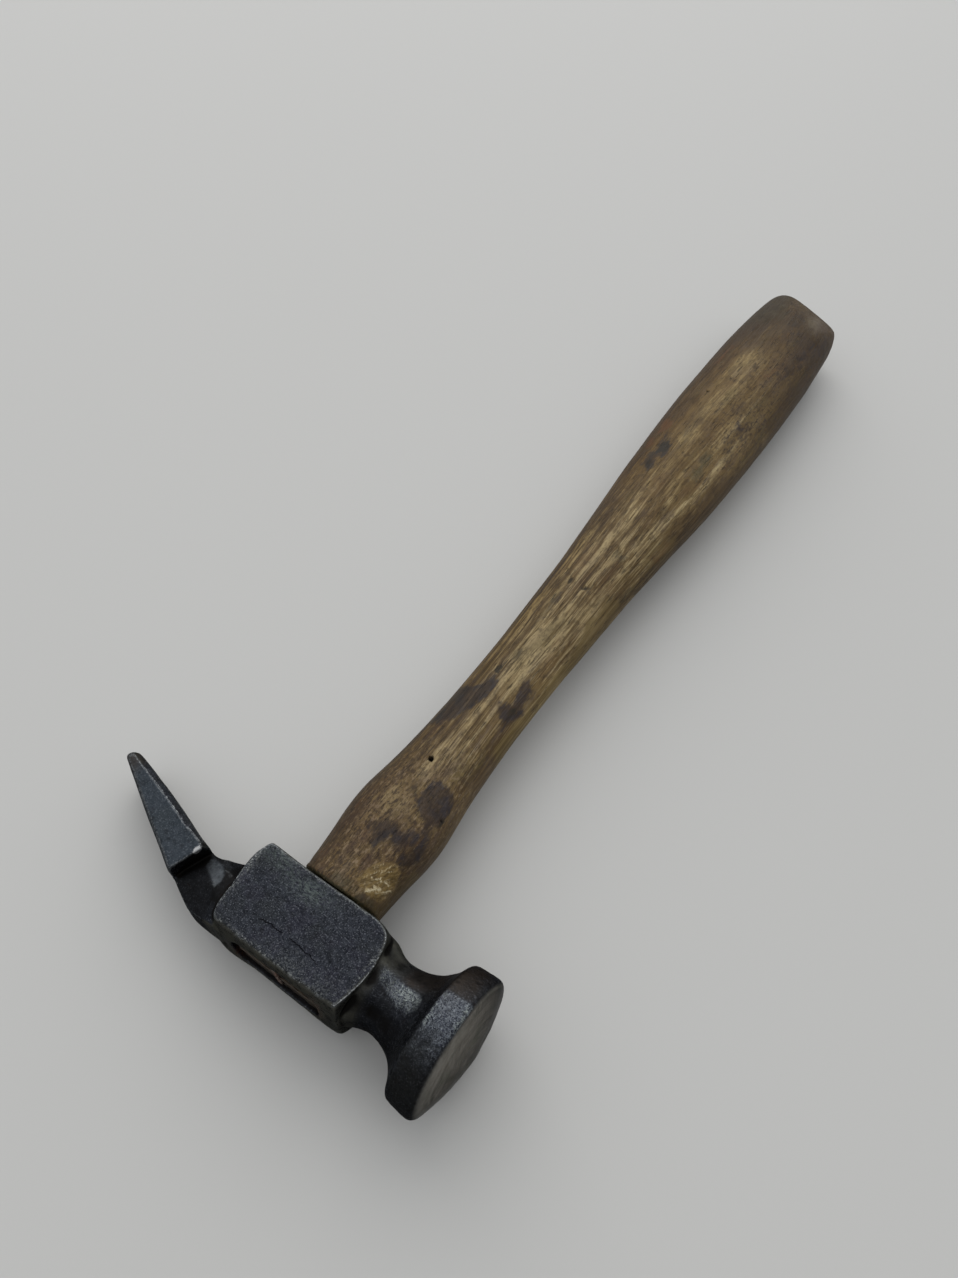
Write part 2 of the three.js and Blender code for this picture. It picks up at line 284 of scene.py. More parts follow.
# the wall is not quite round: flattened a little where it has been filed
flatten = (0.10 * np.cos(3 * np.arctan2(gz[None, :], gy[:, None]) + 0.7) + 0.06 * np.cos(7 * np.arctan2(gz[None, :], gy[:, None]))).astype(np.float32)
bell = bell + flatten[None] * np.clip((gx - 31) / 3, 0, 1).astype(np.float32)[:, None, None] * 0.6

# peen neck with its ground facets
NECK = [
    (-15.0, -10.7), (-18.5, -10.9), (-21.5, -10.95), (-23.6, -10.85), (-25.2, -10.35), (-29.0, -8.7), (-33.4, -6.6),
    (-33.4, 2.7), (-31.0, 2.15), (-28.4, 1.75), (-26.4, 1.7), (-24.6, 2.05), (-23.0, 2.85), (-21.6, 4.1),
    (-20.5, 5.7), (-19.6, 7.2), (-15.0, 8.4),
]
pneck = extrude(smooth_outline(NECK, corners=(0, 6, 7, 16), steps=5))
pneck = r_and(pneck, np.abs(Z) - 6.95, np.float32(0.5))


def facet(px, py, pz, yaw, roll):
    cy, sy = math.cos(math.radians(yaw)), math.sin(math.radians(yaw))
    cr, sr = math.cos(math.radians(roll)), math.sin(math.radians(roll))
    n = (sr * sy, -sr * cy, cr)
    return (X - px) * n[0] + (Y - py) * n[1] + (np.abs(Z) - pz) * n[2]


pneck = r_and(pneck, facet(-25, -2.2, 6.95, -27, 25), np.float32(0.35))
pneck = r_and(pneck, facet(-25, 0.8, 6.95, -14, -50), np.float32(0.45))
pneck = r_and(pneck, facet(-20.5, -2, 7.6, 62, -26), np.float32(0.8))

# peen blade: flat sides, chamfered, hollowed a touch between the edges
BLADE = [
    (-27.4, -9.75), (-31.6, -7.6), (-37.4, -4.72), (-44.4, -1.25), (-52.5, 2.95), (-59.1, 6.4),
    (-60.2, 7.2), (-60.5, 8.15), (-59.9, 9.2), (-58.5, 9.55),
    (-54.0, 8.62), (-47.5, 7.0), (-41.0, 5.25), (-35.4, 3.55), (-30.6, 2.1), (-26.0, 1.4), (-25.0, -9.2),
]
blade2 = extrude(smooth_outline(BLADE, corners=(0, 15, 16), steps=5))
half = (8.3 - 0.8 * np.clip((gx + 30) / -30, 0, 1)).astype(np.float32)[:, None, None]
mid_y = 8.3 - 0.377 * (X + 60)
inner = np.clip((Y - mid_y) / 1.2 * 0.5 + 0.5, 0, 1)
sag = 0.10 * np.exp(-((Y - mid_y - 0.2) / (1.2 + 0.10 * (X + 60))) ** 2)
dz = np.abs(Z) - half + sag
cham = 0.55 + 0.95 * inner * np.clip((-X - 30) / 6, 0.5, 1)
blade = r_and(blade2, dz, np.float32(0.25))
blade = r_and(blade, (blade2 + dz + cham) * 0.7071, np.float32(0.15))
ca, sa = math.cos(math.radians(-18)), math.sin(math.radians(-18))
shoulder = (X + 30.25) * ca + (Y + 3.2) * sa
blade = r_and(blade, shoulder, np.float32(0.22))
# worn corner at the inner end of the shoulder
blade = r_and(blade, ((X + 29.6) * 0.60 + (Y - 0.55) * 0.62 + (np.abs(Z) - 8.3) * 0.50), np.float32(0.3))

body = r_or(block, neck, np.float32(0.55))
body = r_or(body, bell, np.float32(0.9))
body = r_or(body, pneck, np.float32(0.85))
body = r_or(body, blade, np.float32(0.35))

# eye: rounded slot along Y, tapered, with a worn mouth
slot_k = 1 + (21.4 / 23.6 - 1) * np.clip((Y + 10) / 20, 0, 1)
qx, qz = np.abs(X / slot_k) - (11.8 - 4.4), np.abs(Z) - (5.9 - 4.4)
eye = np.sqrt(np.maximum(qx, 0) ** 2 + np.maximum(qz, 0) ** 2) + np.minimum(np.maximum(qx, qz), 0) - 4.4
body = r_and(body, -eye, np.float32(0.42))

# forged and ground surfaces are never quite flat
P = np.stack(np.meshgrid(gx[::3], gy[::3], gz[::3], indexing="ij"), -1)
und = (fnoise(P.reshape(-1, 3) / 6.5, 3, 3, 0.55)).reshape(P.shape[:3]).astype(np.float32)


def enlarge(a, shape):
    """Trilinear resampling of a coarse block (every third cell) to the full grid."""
    for ax in range(3):
        n = shape[ax]
        f = np.minimum(np.arange(n) / 3.0, a.shape[ax] - 1.001)
        i = np.floor(f).astype(int)
        w = (f - i).astype(np.float32).reshape([-1 if k == ax else 1 for k in range(3)])
        a = np.take(a, i, ax) * (1 - w) + np.take(a, np.minimum(i + 1, a.shape[ax] - 1), ax) * w
    return a


on_cheek = ((np.abs(Z) > 8.6) & (np.abs(X) < 19)).astype(np.float32)
body = (body + enlarge(und, body.shape) * (0.11 - 0.075 * on_cheek)).astype(np.float32)


def surface_nets(F):
    inside = F < 0
    s = [slice(0, -1), slice(1, None)]
    corners = [(a, b, c) for a in (0, 1) for b in (0, 1) for c in (0, 1)]
    count = sum(inside[s[a], s[b], s[c]].astype(np.uint8) for a, b, c in corners)
    cells = np.argwhere((count > 0) & (count < 8))
    index = np.full(count.shape, -1, np.int32)
    index[tuple(cells.T)] = np.arange(len(cells))
    vals = {k: F[cells[:, 0] + k[0], cells[:, 1] + k[1], cells[:, 2] + k[2]] for k in corners}
    acc, n = np.zeros((len(cells), 3)), np.zeros(len(cells))
    for a in corners:
        for ax in range(3):
            if a[ax]:
                continue
            b = list(a)
            b[ax] = 1
            fa, fb = vals[a], vals[tuple(b)]
            hit = (fa < 0) != (fb < 0)
            t = np.where(hit, fa / np.where(hit, fa - fb, 1), 0)
            q = np.tile(np.array(a, float), (len(cells), 1))
            q[:, ax] += t
            acc += q * hit[:, None]
            n += hit
    v = cells + acc / n[:, None]
    quads = []
    for ax in range(3):
        lo = [slice(1, -1)] * 3
        hi = [slice(1, -1)] * 3
        lo[ax], hi[ax] = slice(0, -1), slice(1, None)
        a, b = inside[tuple(lo)], inside[tuple(hi)]
        where = np.argwhere(a != b)
        out = a[tuple(where.T)]
        base = where + 1
        base[:, ax] -= 1
        u, w = [(1, 2), (2, 0), (0, 1)][ax]
        ring = []
        for du, dw in ((0, 0), (-1, 0), (-1, -1), (0, -1)):
            c = base.copy()
            c[:, u] += du
            c[:, w] += dw
            ring.append(index[tuple(c.T)])
        q = np.stack(ring, 1)
        q[~out] = q[~out][:, ::-1]
        quads.append(q)
    return v, np.concatenate(quads)


def sample(F, v):
    """Trilinear value of the grid at fractional indices v (n, 3)."""
    v = np.clip(v, 0, np.array(F.shape) - 1.001)
    i = np.floor(v).astype(int)
    f = v - i
    out = 0
    for dx in (0, 1):
        for dy in (0, 1):
            for dw in (0, 1):
                w = ((f[:, 0] if dx else 1 - f[:, 0]) * (f[:, 1] if dy else 1 - f[:, 1])
                     * (f[:, 2] if dw else 1 - f[:, 2]))
                out = out + w * F[i[:, 0] + dx, i[:, 1] + dy, i[:, 2] + dw]
    return out


def gradient(F, v, e=0.5):
    g = np.stack([sample(F, v + e * np.eye(3)[k]) - sample(F, v - e * np.eye(3)[k]) for k in range(3)], 1) / (2 * e)
    return g


def box_blur(F, n):
    """Mean over a cube of (2n+1) cells a side."""
    for ax in range(3):
        pad = [(n + 1, n) if k == ax else (0, 0) for k in range(3)]
        c = np.cumsum(np.pad(F, pad, mode="edge").astype(np.float64), axis=ax)
        a = np.take(c, np.arange(2 * n + 1, c.shape[ax]), ax)
        b = np.take(c, np.arange(0, c.shape[ax] - 2 * n - 1), ax)
        F = ((a - b) / (2 * n + 1)).astype(np.float32)
    return F


vi, quads = surface_nets(body)
for _ in range(2):
    g = gradient(body, vi)
    m = np.maximum((g * g).sum(1), 1e-6)
    step = -(sample(body, vi) / m)[:, None] * g
    lim = np.linalg.norm(step, axis=1, keepdims=True)
    vi = vi + step * np.minimum(1, 0.35 / np.maximum(lim, 1e-9))
g = gradient(body, vi)
normal = g / np.maximum(np.linalg.norm(g, axis=1, keepdims=True), 1e-9)
pos = np.array([gx[0], gy[0], gz[0]]) + vi * CELL

tight = max(1, round(0.55 / CELL))
wide = max(2, round(1.6 / CELL))
conv_t = sample(box_blur(body, tight) - body, vi) / 0.55
conv_w = sample(box_blur(body, wide) - body, vi) / 1.6
x, y, z = pos.T
nx, ny, nz = normal.T
ang = np.degrees(np.arctan2(z, y + BELL_Y))
rad = np.hypot(z, y + BELL_Y)
in_eye = sstep(0.8, -0.2, np.maximum(np.abs(x) - 11.8, np.abs(z) - 5.9)) * sstep(0.5, 0.9, 1 - np.abs(ny))
in_eye *= (np.abs(y) < 10.5)
cheek = sstep(9.0, 9.25, np.abs(z)) * sstep(0.90, 0.985, np.abs(nz)) * (np.abs(x) < 19)
side = sstep(-28.6, -30.2, x) * sstep(7.0, 7.5, np.abs(z)) * sstep(0.92, 0.985, np.abs(nz))
dome = sstep(39.6, 40.5, x) * sstep(0.35, 0.75, nx)
wall = sstep(33.1, 33.9, x) * (1 - dome) * sstep(14.2, 15.0, rad)
edge = np.clip(conv_t * 7.0 - 0.25, 0, 1)
# edge wear with painted highlight: bright lines on the edge fillets at one slope, stronger where they face +x and -x
worn_edge_glint = np.exp(-((np.abs(nz) - 0.80) / 0.11) ** 2) * sstep(0.15, 0.5, edge)
worn_edge_glint *= np.where(np.abs(x) < 19.2, (0.40 + 0.42 * sstep(0.15, 0.45, nx) + 0.30 * sstep(-0.15, -0.45, nx)) * sstep(8.5, 8.8, np.abs(z)),
                  (0.50 - 0.12 * (ny < 0)) * sstep(-29.2, -30.0, x))
edge *= 1 - 0.80 * (np.abs(x) < 19.8) * sstep(8.9, 8.3, np.abs(z))
edge *= 1 - 0.55 * sstep(30, 34, x)
broad = np.clip(conv_w * 5.0, 0, 1)
cav = np.clip(-conv_w * 6.5, 0, 1) * (1 - cheek)

# pitting: deepest on the bell wall and the neck flats, fine on the cheeks
grain_f = fnoise(pos / 0.62, 11, 2)
pit_s = pits(pos / 1.15, 21, 0.55, 0.30, 0.60)
pit_l = pits(pos / 2.6, 31, 0.35, 0.25, 0.55)
NPATCH = np.array([(18.6, 1.2), (19.3, 3.3), (21.6, 3.4), (25, 2.5), (28.6, 2.5), (30.2, 1.8), (30.5, -.6), (29.4, -2.9), (26.6, -2.7), (23.4, -1.5), (20.8, -.6)])
worn_flat = sstep(0.7, -0.9, poly_sdf(x, y, NPATCH)) * (np.abs(z) > 4) * sstep(0.40, 0.75, np.abs(nz)) * (x > 17.5)
worn_flat = worn_flat * (0.55 + 0.45 * sstep(-2.8, 0.2, y)) * (0.60 + 0.40 * sstep(21.5, 25.5, x))
cav = cav * (1 - 0.85 * worn_flat) * (1 - 0.50 * sstep(26, 29.5, x) * sstep(34.5, 32, x))
worn_wall = wall * (sstep(66, 72, ang) * sstep(132, 116, ang) + 0.8 * sstep(-126, -118, ang) * sstep(-62, -74, ang))
worn_wall = worn_wall * (0.52 + 0.48 * sstep(112, 92, np.abs(ang)))
# painted highlight: paler, speckled metal on the upper bell wall and on part of the neck flat, where the light catches
painted_highlight = wall * sstep(66, 72, ang) * np.clip(sstep(96, 88, ang) * sstep(38.6, 39.4, x) + sstep(112, 100, ang) * sstep(35.0, 33.6, x), 0, 1)
painted_highlight = np.clip(painted_highlight + worn_flat * sstep(23.5, 26.5, x) * sstep(-2.2, -0.6, y), 0, 1)
worn_top = np.clip(worn_flat + worn_wall * (0.72 + 0.28 * sstep(36.0, 38.6, x)), 0, 1)
rough = 0.012 + 0.018 * cheek + 0.035 * wall + 0.03 * worn_top
depth = rough * (0.9 * grain_f) - (0.02 + 0.03 * cheek + 0.05 * wall + 0.03 * worn_top) * pit_s
depth -= (0.02 + 0.02 * cheek + 0.045 * wall) * pit_l
depth *= 1 - 0.92 * dome
depth += 0.02 * dome * np.cos(rad * 2.1 + 0.8 * vnoise(pos / 5, 41))
# nicks along the working edges
nick = pits(np.stack([x / 2.4, y / 2.4, z / 2.4], 1), 51, 0.45, 0.22, 0.5) * edge
depth -= 0.16 * nick * (1 - 0.6 * dome)
pos = pos + normal * depth[:, None]

head_me = new_mesh("head", to_row(pos), quads)
brown = sstep(22, 26, x) * sstep(42, 36, x) * sstep(-0.1, 0.6, ny) * (1 - dome)
brown = np.clip(brown + 0.75 * sstep(-53, -58.5, x), 0, 1) * (1 - worn_top)
# olive tint with painted fill light: walls turned away from the light are made paler on the block, the face neck, the
# bell and the peen
olive_fill = sstep(0.35, 0.8, np.abs(nz)) * 0
olive_fill = np.clip(sstep(12.5, 16, x) * sstep(21, 18.5, x) * (1 - cheek) * 0.8 + (1 - cheek) * (np.abs(x) < 19.5) * sstep(0.35, 0.75, np.abs(ny)) * 1.0
                + sstep(13.5, 16, x) * sstep(25, 20, x) * sstep(0.0, 0.5, ny) * (1 - cheek) * 0.9
                + 0.22 * sstep(28.5, 32, x) * sstep(0.1, -0.5, ny) * (1 - dome)
                + 0.8 * (x < -28) * sstep(0.35, 0.75, ny) * sstep(0.8, 0.5, np.abs(nz)), 0, 1) * (1 - worn_top)
# painted highlight: a lit strip on the peen neck's facet, outlined in plan
LIT_STRIP = np.array([(-28.4, .8), (-27.2, -1.6), (-24.0, -3.0), (-21.3, -4.4), (-20.8, -2.8), (-21.4, -1.0), (-23.4, .3), (-25.6, .7)])
lit_strip = sstep(0.35, -0.45, poly_sdf(x, y, LIT_STRIP)) * (np.abs(z) > 4) * sstep(0.3, 0.7, np.abs(nz))
# black grease and painted shade: darkens hollows, the peen neck, the corner by the block's end, the face neck except
# its side facing +y, and the bell wall, most on its side facing -y
black_shade = (np.clip(cav * 1.0, 0, 1) + 0.70 * sstep(-17.5, -20, x) * sstep(-31.5, -30.3, x)
         + 0.9 * sstep(-16.6, -17.6, x) * sstep(-21.6, -20.4, x) * sstep(9.3, 8.9, np.abs(z)) * sstep(-7.5, -5.5, y)
         + 0.52 * (sstep(16.5, 19, x) * sstep(31.0, 24.5, x)) * (1 - worn_top) * (1 - 0.8 * sstep(-0.1, 0.5, ny))
         + 0.44 * wall * (1 - np.clip(worn_wall * 1.6, 0, 1)) * sstep(0.5, -0.3, ny) + 0.16 * wall * (1 - np.clip(worn_wall * 1.6, 0, 1)))
black_shade = np.clip(black_shade * (1 - cheek) * (1 - side) * (1 - dome) * (1 - lit_strip), 0, 1)
chip = np.exp(-(((x + 29.7) / 0.75) ** 2 + ((y + 0.55 - 0.25 * (x + 29.7)) / 1.25) ** 2 + ((np.abs(z) - 7.9) / 0.9) ** 2))
scuff = np.exp(-(((x + 3.0 - 0.25 * (y - 6)) / 5.5) ** 2 + ((y - 6.2) / 2.4) ** 2)) * cheek * (z > 0)
scuff = scuff + 0.85 * np.exp(-(((x + 13.0) / 4.0) ** 2 + ((y - 8.0) / 1.9) ** 2)) * cheek * (z > 0)
scuff = scuff + 0.7 * np.exp(-(((x - 4.0) / 5.0) ** 2 + ((y + 5.5) / 2.6) ** 2)) * cheek * (z < 0)
gritty = np.clip(sstep(-8.2, -9.9, y) + sstep(-15.2, -17.4, x) + 0.8 * sstep(-3.5, -8.5, y) * sstep(-9, 4, x), 0, 1) * cheek
ends = np.clip(sstep(-16.4, -17.6, x) + 0.9 * sstep(-8.7, -9.4, y) + 0.40 * sstep(8.6, 9.2, y) + 0.45 * sstep(16.2, 17.2, x), 0, 1)
ends = ends * sstep(8.5, 8.8, np.abs(z)) * sstep(0.45, 0.7, np.abs(nz)) * (np.abs(x) < 19.2)
rust = np.exp(-(((x - 11.4) / 1.5) ** 2 + ((y + 10.3) / 1.6) ** 2 + ((z - 2.0) / 4.2) ** 2))
rust = rust + 0.55 * np.exp(-(((x + 11.4) / 1.2) ** 2 + ((y + 10.2) / 1.2) ** 2 + ((z + 3.0) / 2.2) ** 2))
for name, values in (("edge", edge), ("broad", broad), ("cav", cav), ("cheek", cheek), ("side", side), ("dome", dome),
                     ("wall", wall), ("worn", worn_top), ("pit", np.clip(pit_s + 0.8 * pit_l, 0, 1)), ("brown", brown),
                     ("olive_fill", olive_fill), ("black_shade", black_shade), ("chip", chip), ("scuff", scuff), ("gritty", gritty),
                     ("rust", rust), ("ineye", in_eye), ("lit_strip", lit_strip), ("rad", rad / 16.0), ("worn_edge_glint", worn_edge_glint), ("painted_highlight", painted_highlight),
                     ("ends", ends)):
    add_attr(head_me, name, values)
head = add_object("head_forging", head_me)

# ------------------------------------------------------------------ haft
BASE_W = np.array([
    (11.0, 9.9), (11.7, 10.45), (16, 10.75), (21, 11.2), (26, 11.8), (31, 12.1), (35, 12.0), (40, 11.35), (45, 10.75),
    (50, 10.4), (56, 10.1), (65, 9.9), (76, 9.85), (87, 10.0), (97, 10.5), (107, 10.85), (118, 11.15), (128, 11.9),
    (138, 12.7), (148, 13.6), (158, 14.4), (168, 14.9), (180, 15.5), (192, 15.8), (202, 15.75), (212, 15.55),
    (222, 15.3), (232, 14.85), (240, 14.25), (245, 13.7), (248, 13.2), (249.5, 12.75), (250.2, 12.2), (250.6, 11.5)])
BASE_C = np.array([(0, -.3), (60, -.1), (150, -.35), (190, -.7), (215, -.5), (250, -.4)])
TRIM_L = np.array([(11, .45), (14, .55), (18, .66), (24, .57), (30, .46), (36, .40), (42, .28), (48, .16), (54, .18), (60, .24),
                   (70, .30), (84, .33), (92, .47), (100, .57), (108, .56), (116, .47), (130, .48), (144, .52), (152, .66),
                   (165, .70), (176, .82), (186, .90), (196, .86), (204, .68), (211, .46), (220, .24), (234, .18), (246, .12),
                   (251, 0)])
TRIM_R = np.array([(11, .30), (18, .44), (24, .42), (30, .24), (36, .32), (42, .24), (48, .16), (54, .18), (60, .30), (66, .38),
                   (72, .30), (80, .18), (92, .15), (108, .14), (116, .02), (126, -.10), (140, 0), (150, -.10), (168, -.08),
                   (186, 0), (204, .06), (222, .04), (232, .26), (240, .20), (246, .50), (251, 1.0)])
HALF_W = BASE_W.copy()
HALF_W[:, 1] -= (np.interp(BASE_W[:, 0], *TRIM_L.T) + np.interp(BASE_W[:, 0], *TRIM_R.T)) / 2
SHIFT = np.stack([BASE_W[:, 0], np.interp(BASE_W[:, 0], *BASE_C.T)
                  + (np.interp(BASE_W[:, 0], *TRIM_L.T) - np.interp(BASE_W[:, 0], *TRIM_R.T)) / 2], 1)
FLAT = np.array([(10, .86), (20, .82), (35, .77), (70, .78), (130, .75), (250, .73)])


def eased(table, t, blur=3.0):
    """Table lookup averaged over a short stretch, so that stations don't show as kinks."""
    t = np.asarray(t, float)
    offs = np.linspace(-1, 1, 9)
    w = 1 - np.abs(offs) * 0.8
    near = np.clip(np.minimum(t - 16, 243 - t) / 8, 0.02, 1) * blur
    return sum(wi * np.interp(t + o * near, table[:, 0], table[:, 1]) for o, wi in zip(offs, w)) / w.sum()


NT = 208
tt = np.linspace(0, 2 * math.pi, NT, endpoint=False)
ct, st = np.cos(tt), np.sin(tt)
rows = []


def slot_section(A, B, r):
    """Rounded slot A by B (half sizes) as seen from its middle, one point for each station."""
    dx, dz_ = A * ct, B * st
    lo, hi = np.zeros(NT), np.full(NT, 1.6)
    for _ in range(30):
        m = (lo + hi) / 2
        qx, qz = np.abs(dx * m) - (A - r), np.abs(dz_ * m) - (B - r)
        d = np.hypot(np.maximum(qx, 0), np.maximum(qz, 0)) + np.minimum(np.maximum(qx, qz), 0) - r
        lo, hi = np.where(d < 0, m, lo), np.where(d < 0, hi, m)
    return dx * lo, dz_ * lo


def tongue_row(y, k=1.0):
    s = 1 + (21.4 / 23.6 - 1) * np.clip((y + 10) / 20, 0, 1)
    sx, sz = slot_section(11.5, 5.6, 4.1)
    return np.stack([sx * s * k, np.full(NT, y), sz * k], 1)


BEVEL_P, BEVEL_N = np.array([3.0, 241.6, 9.4]), np.array([0.324, 0.449, 0.833])


def body_row(y, k=1.0):
    a, s, f = eased(HALF_W, y), eased(SHIFT, y), eased(FLAT, y)
    e = 2.0 + 0.35 * np.exp(-((y - 22) / 22) ** 2) + 0.12 * np.clip((y - 150) / 60, 0, 1)
    m = (np.abs(ct) ** e + np.abs(st) ** e) ** (-1 / e)
    px, pz = a * k * ct * m + s, a * f * k * st * m
    py = np.full(NT, y) - 0.075 * (px + 1) * np.clip((y - 226) / 24, 0, 1) ** 2
    # the shoulder follows the crowned wall of the head
    py = py - (0.10 + 1.0 * (pz / 9.4) ** 2) * np.clip((17 - y) / 6, 0, 1) ** 1.5
    # the upper right of the butt is worn away at a slant
    over = (px - BEVEL_P[0]) * BEVEL_N[0] + (py - BEVEL_P[1]) * BEVEL_N[1] + (pz - BEVEL_P[2]) * BEVEL_N[2]
    soft = 0.9
    pz = pz - np.log1p(np.exp(np.clip(over / soft, -30, 30))) * soft / BEVEL_N[2] * (y > 215)
    return np.stack([px, py, pz], 1)


for k in (0.0, 0.25, 0.5, 0.72, 0.88, 0.965):
    rows.append(tongue_row(-9.9, max(k, 1e-3)))
for y_ in np.linspace(-9.75, 10.35, 32):
    rows.append(tongue_row(y_))
a_, b_ = tongue_row(10.6), body_row(11.0, 0.96)
rows.append(a_ * 0.5 + b_ * 0.5)
rows[-1][:, 1] = 10.83 - 1.0 * (rows[-1][:, 2] / 9.4) ** 2
rows.append(body_row(11.0, 0.985))
ys = np.concatenate([np.arange(11.25, 247.5, 0.42), np.linspace(247.7, 250.45, 12)])
for y_ in ys:
    rows.append(body_row(y_))
end = body_row(250.6)
mid = end.mean(0)
for k in np.linspace(0.985, 0.0, 22):
    rows.append(mid + (end - mid) * max(k, 1e-3))
hp = np.concatenate(rows)
nr = len(rows)
i0 = (np.arange(nr - 1)[:, None] * NT + np.arange(NT)[None, :])
i1 = (np.arange(nr - 1)[:, None] * NT + (np.arange(NT)[None, :] + 1) % NT)
hq = np.stack([i0, i0 + NT, i1 + NT, i1], -1).reshape(-1, 4)

# radial directions for the surface work
theta = np.tile(tt, nr)
ydir = hp[:, 1]
aw = eased(HALF_W, ydir)
cx = eased(SHIFT, ydir)
ff = eased(FLAT, ydir)
radial = np.stack([(hp[:, 0] - cx) / aw ** 2, np.zeros(len(hp)), hp[:, 2] / (aw * ff) ** 2], 1)
radial /= np.maximum(np.linalg.norm(radial, axis=1, keepdims=True), 1e-9)
on_body = sstep(11.0, 12.5, ydir) * sstep(250.3, 248.5, ydir)

# hand-shaped unevenness, raised grain, dents, two worm holes
gp = np.stack([hp[:, 0], hp[:, 1] * 0.045, hp[:, 2]], 1)
d_h = 0.09 * fnoise(np.stack([hp[:, 0] / 9, hp[:, 1] / 26, hp[:, 2] / 9], 1), 61, 2)
d_h += 0.045 * fnoise(gp * 1.15, 62, 3, 0.6)
d_h -= 0.05 * sstep(0.25, 0.7, vnoise(np.stack([hp[:, 0] * 1.9, hp[:, 1] * 0.16, hp[:, 2] * 1.9], 1), 63))
d_h -= 0.06 * pits(np.stack([hp[:, 0] / 3.4, hp[:, 1] / 5.2, hp[:, 2] / 3.4], 1), 64, 0.3, 0.2, 0.5)


def near(px, py, rx, ry, turn=0.0, top=True):
    """Soft spot around (px, py) in plan, on the upper or lower side."""
    c, s = math.cos(math.radians(turn)), math.sin(math.radians(turn))
    u, v = hp[:, 0] - px, hp[:, 1] - py
    a, b = (u * c - v * s) / rx, (u * s + v * c) / ry
    w = np.exp(-(a * a + b * b))
    return w * (sstep(-2.5, 0.5, hp[:, 2]) if top else sstep(2.5, -0.5, hp[:, 2]))


DENTS = [(-5.4, 111.8, .8, 1.6, .30), (-2.2, 108.7, .8, 1.3, .30), (-2.9, 107.2, .6, .9, .22), (1.9, 108.9, 1.0, .9, .34),
         (3.7, 110.6, .9, 1.0, .28), (5.8, 113.4, .8, 1.2, .24), (3.1, 123.1, 1.4, 2.0, .22), (-1.1, 147.9, 1.5, 1.0, .26),
         (-6.5, 155.6, .9, 1.6, .25), (-3.2, 76.1, .8, 1.3, .34), (-1.7, 81.7, 1.0, 1.6, .20), (5.7, 166.0, 1.1, 2.2, .2),
         (8.4, 18.5, 1.6, 2.2, .22), (6.0, 15.5, 1.6, 1.6, .16), (2.0, 36.0, 1.5, 2.0, .14), (7.0, 196.0, 1.2, 3.0, .16)]
for px, py, rx, ry, dd in DENTS:
    d_h -= dd * near(px, py, rx, ry)
rng = np.random.default_rng(11)
for _ in range(26):
    d_h -= rng.uniform(.12, .28) * near(rng.uniform(-9, 9), rng.uniform(20, 240), rng.uniform(.5, 1.3), rng.uniform(.8, 2.6), top=False)
# ragged band of small bites round the shoulder where the head has rubbed
d_h -= 0.22 * sstep(14.5, 11.2, ydir) * sstep(0.0, 0.5, vnoise(np.stack([hp[:, 0] / 1.3, hp[:, 1] / 1.6, hp[:, 2] / 1.3], 1), 66))
holes = np.zeros(len(hp))
for px, py, r_, dd in ((-1.2, 46.4, .56, 1.5), (9.3, 36.0, .26, .4), (-6.0, 190.5, .30, .5)):
    u, v = hp[:, 0] - px, hp[:, 1] - py
    w = sstep(1.25, 0.6, np.hypot(u, v) / r_) * (hp[:, 2] > 0)
    holes = np.maximum(holes, w)
    d_h -= dd * w
hp = hp + radial * (d_h * on_body)[:, None]
# the ends: sawn fibres on the butt, torn fibres on the end of the tongue
butt = sstep(250.0, 250.5, ydir)
hp[:, 1] -= butt * (0.10 + 0.10 * fnoise(np.stack([hp[:, 0] / 1.3, hp[:, 0] * 0, hp[:, 2] / 1.3], 1), 67, 3) + 0.12 * sstep(0.35, 0.6, vnoise(np.stack([hp[:, 0] / 0.5, hp[:, 0] * 0, hp[:, 2] / 4], 1), 68)))
tend = sstep(-9.5, -9.85, ydir)
hp[:, 1] += tend * (0.12 + 0.14 * fnoise(np.stack([hp[:, 0] / 1.1, hp[:, 0] * 0, hp[:, 2] / 1.1], 1), 69, 3))

# close the two ends with fans of quads folded onto their middle points
c0, c1 = hp[:NT].mean(0), hp[-NT:].mean(0)
hp[:NT] = c0 + (hp[:NT] - c0) * 0.02
hp[-NT:] = c1 + (hp[-NT:] - c1) * 0.02
hv = np.concatenate([hp, [c0], [c1]])
tri0 = np.stack([np.arange(NT), (np.arange(NT) + 1) % NT, np.full(NT, len(hp))], 1)
last = (nr - 1) * NT
tri1 = np.stack([last + (np.arange(NT) + 1) % NT, last + np.arange(NT), np.full(NT, len(hp) + 1)], 1)
quads_t = np.concatenate([hq[:, [0, 1, 2]], hq[:, [0, 2, 3]]])
haft_me = new_mesh("haft_raw", hv / 1000.0, np.concatenate([quads_t, tri0, tri1])[:, ::-1])
haft = add_object("haft_turned", haft_me)


def tapered_box(name, lx, lz, y0, y1, thin_z, ratio):
    v = []
    for t in (0, 1):
        k = 1 + (ratio - 1) * t
        hx, hz = (lx / 2, lz / 2 * k) if thin_z else (lx / 2 * k, lz / 2)
        for sx, sz in ((-1, -1), (1, -1), (1, 1), (-1, 1)):
            v.append((sx * hx, y0 + (y1 - y0) * t, sz * hz))
    f = [(0, 1, 2, 3), (7, 6, 5, 4), (4, 5, 1, 0), (5, 6, 2, 1), (6, 7, 3, 2), (7, 4, 0, 3)]
    return add_object(name, new_mesh(name, np.array(v) / 1000.0, np.array(f), smooth=False))


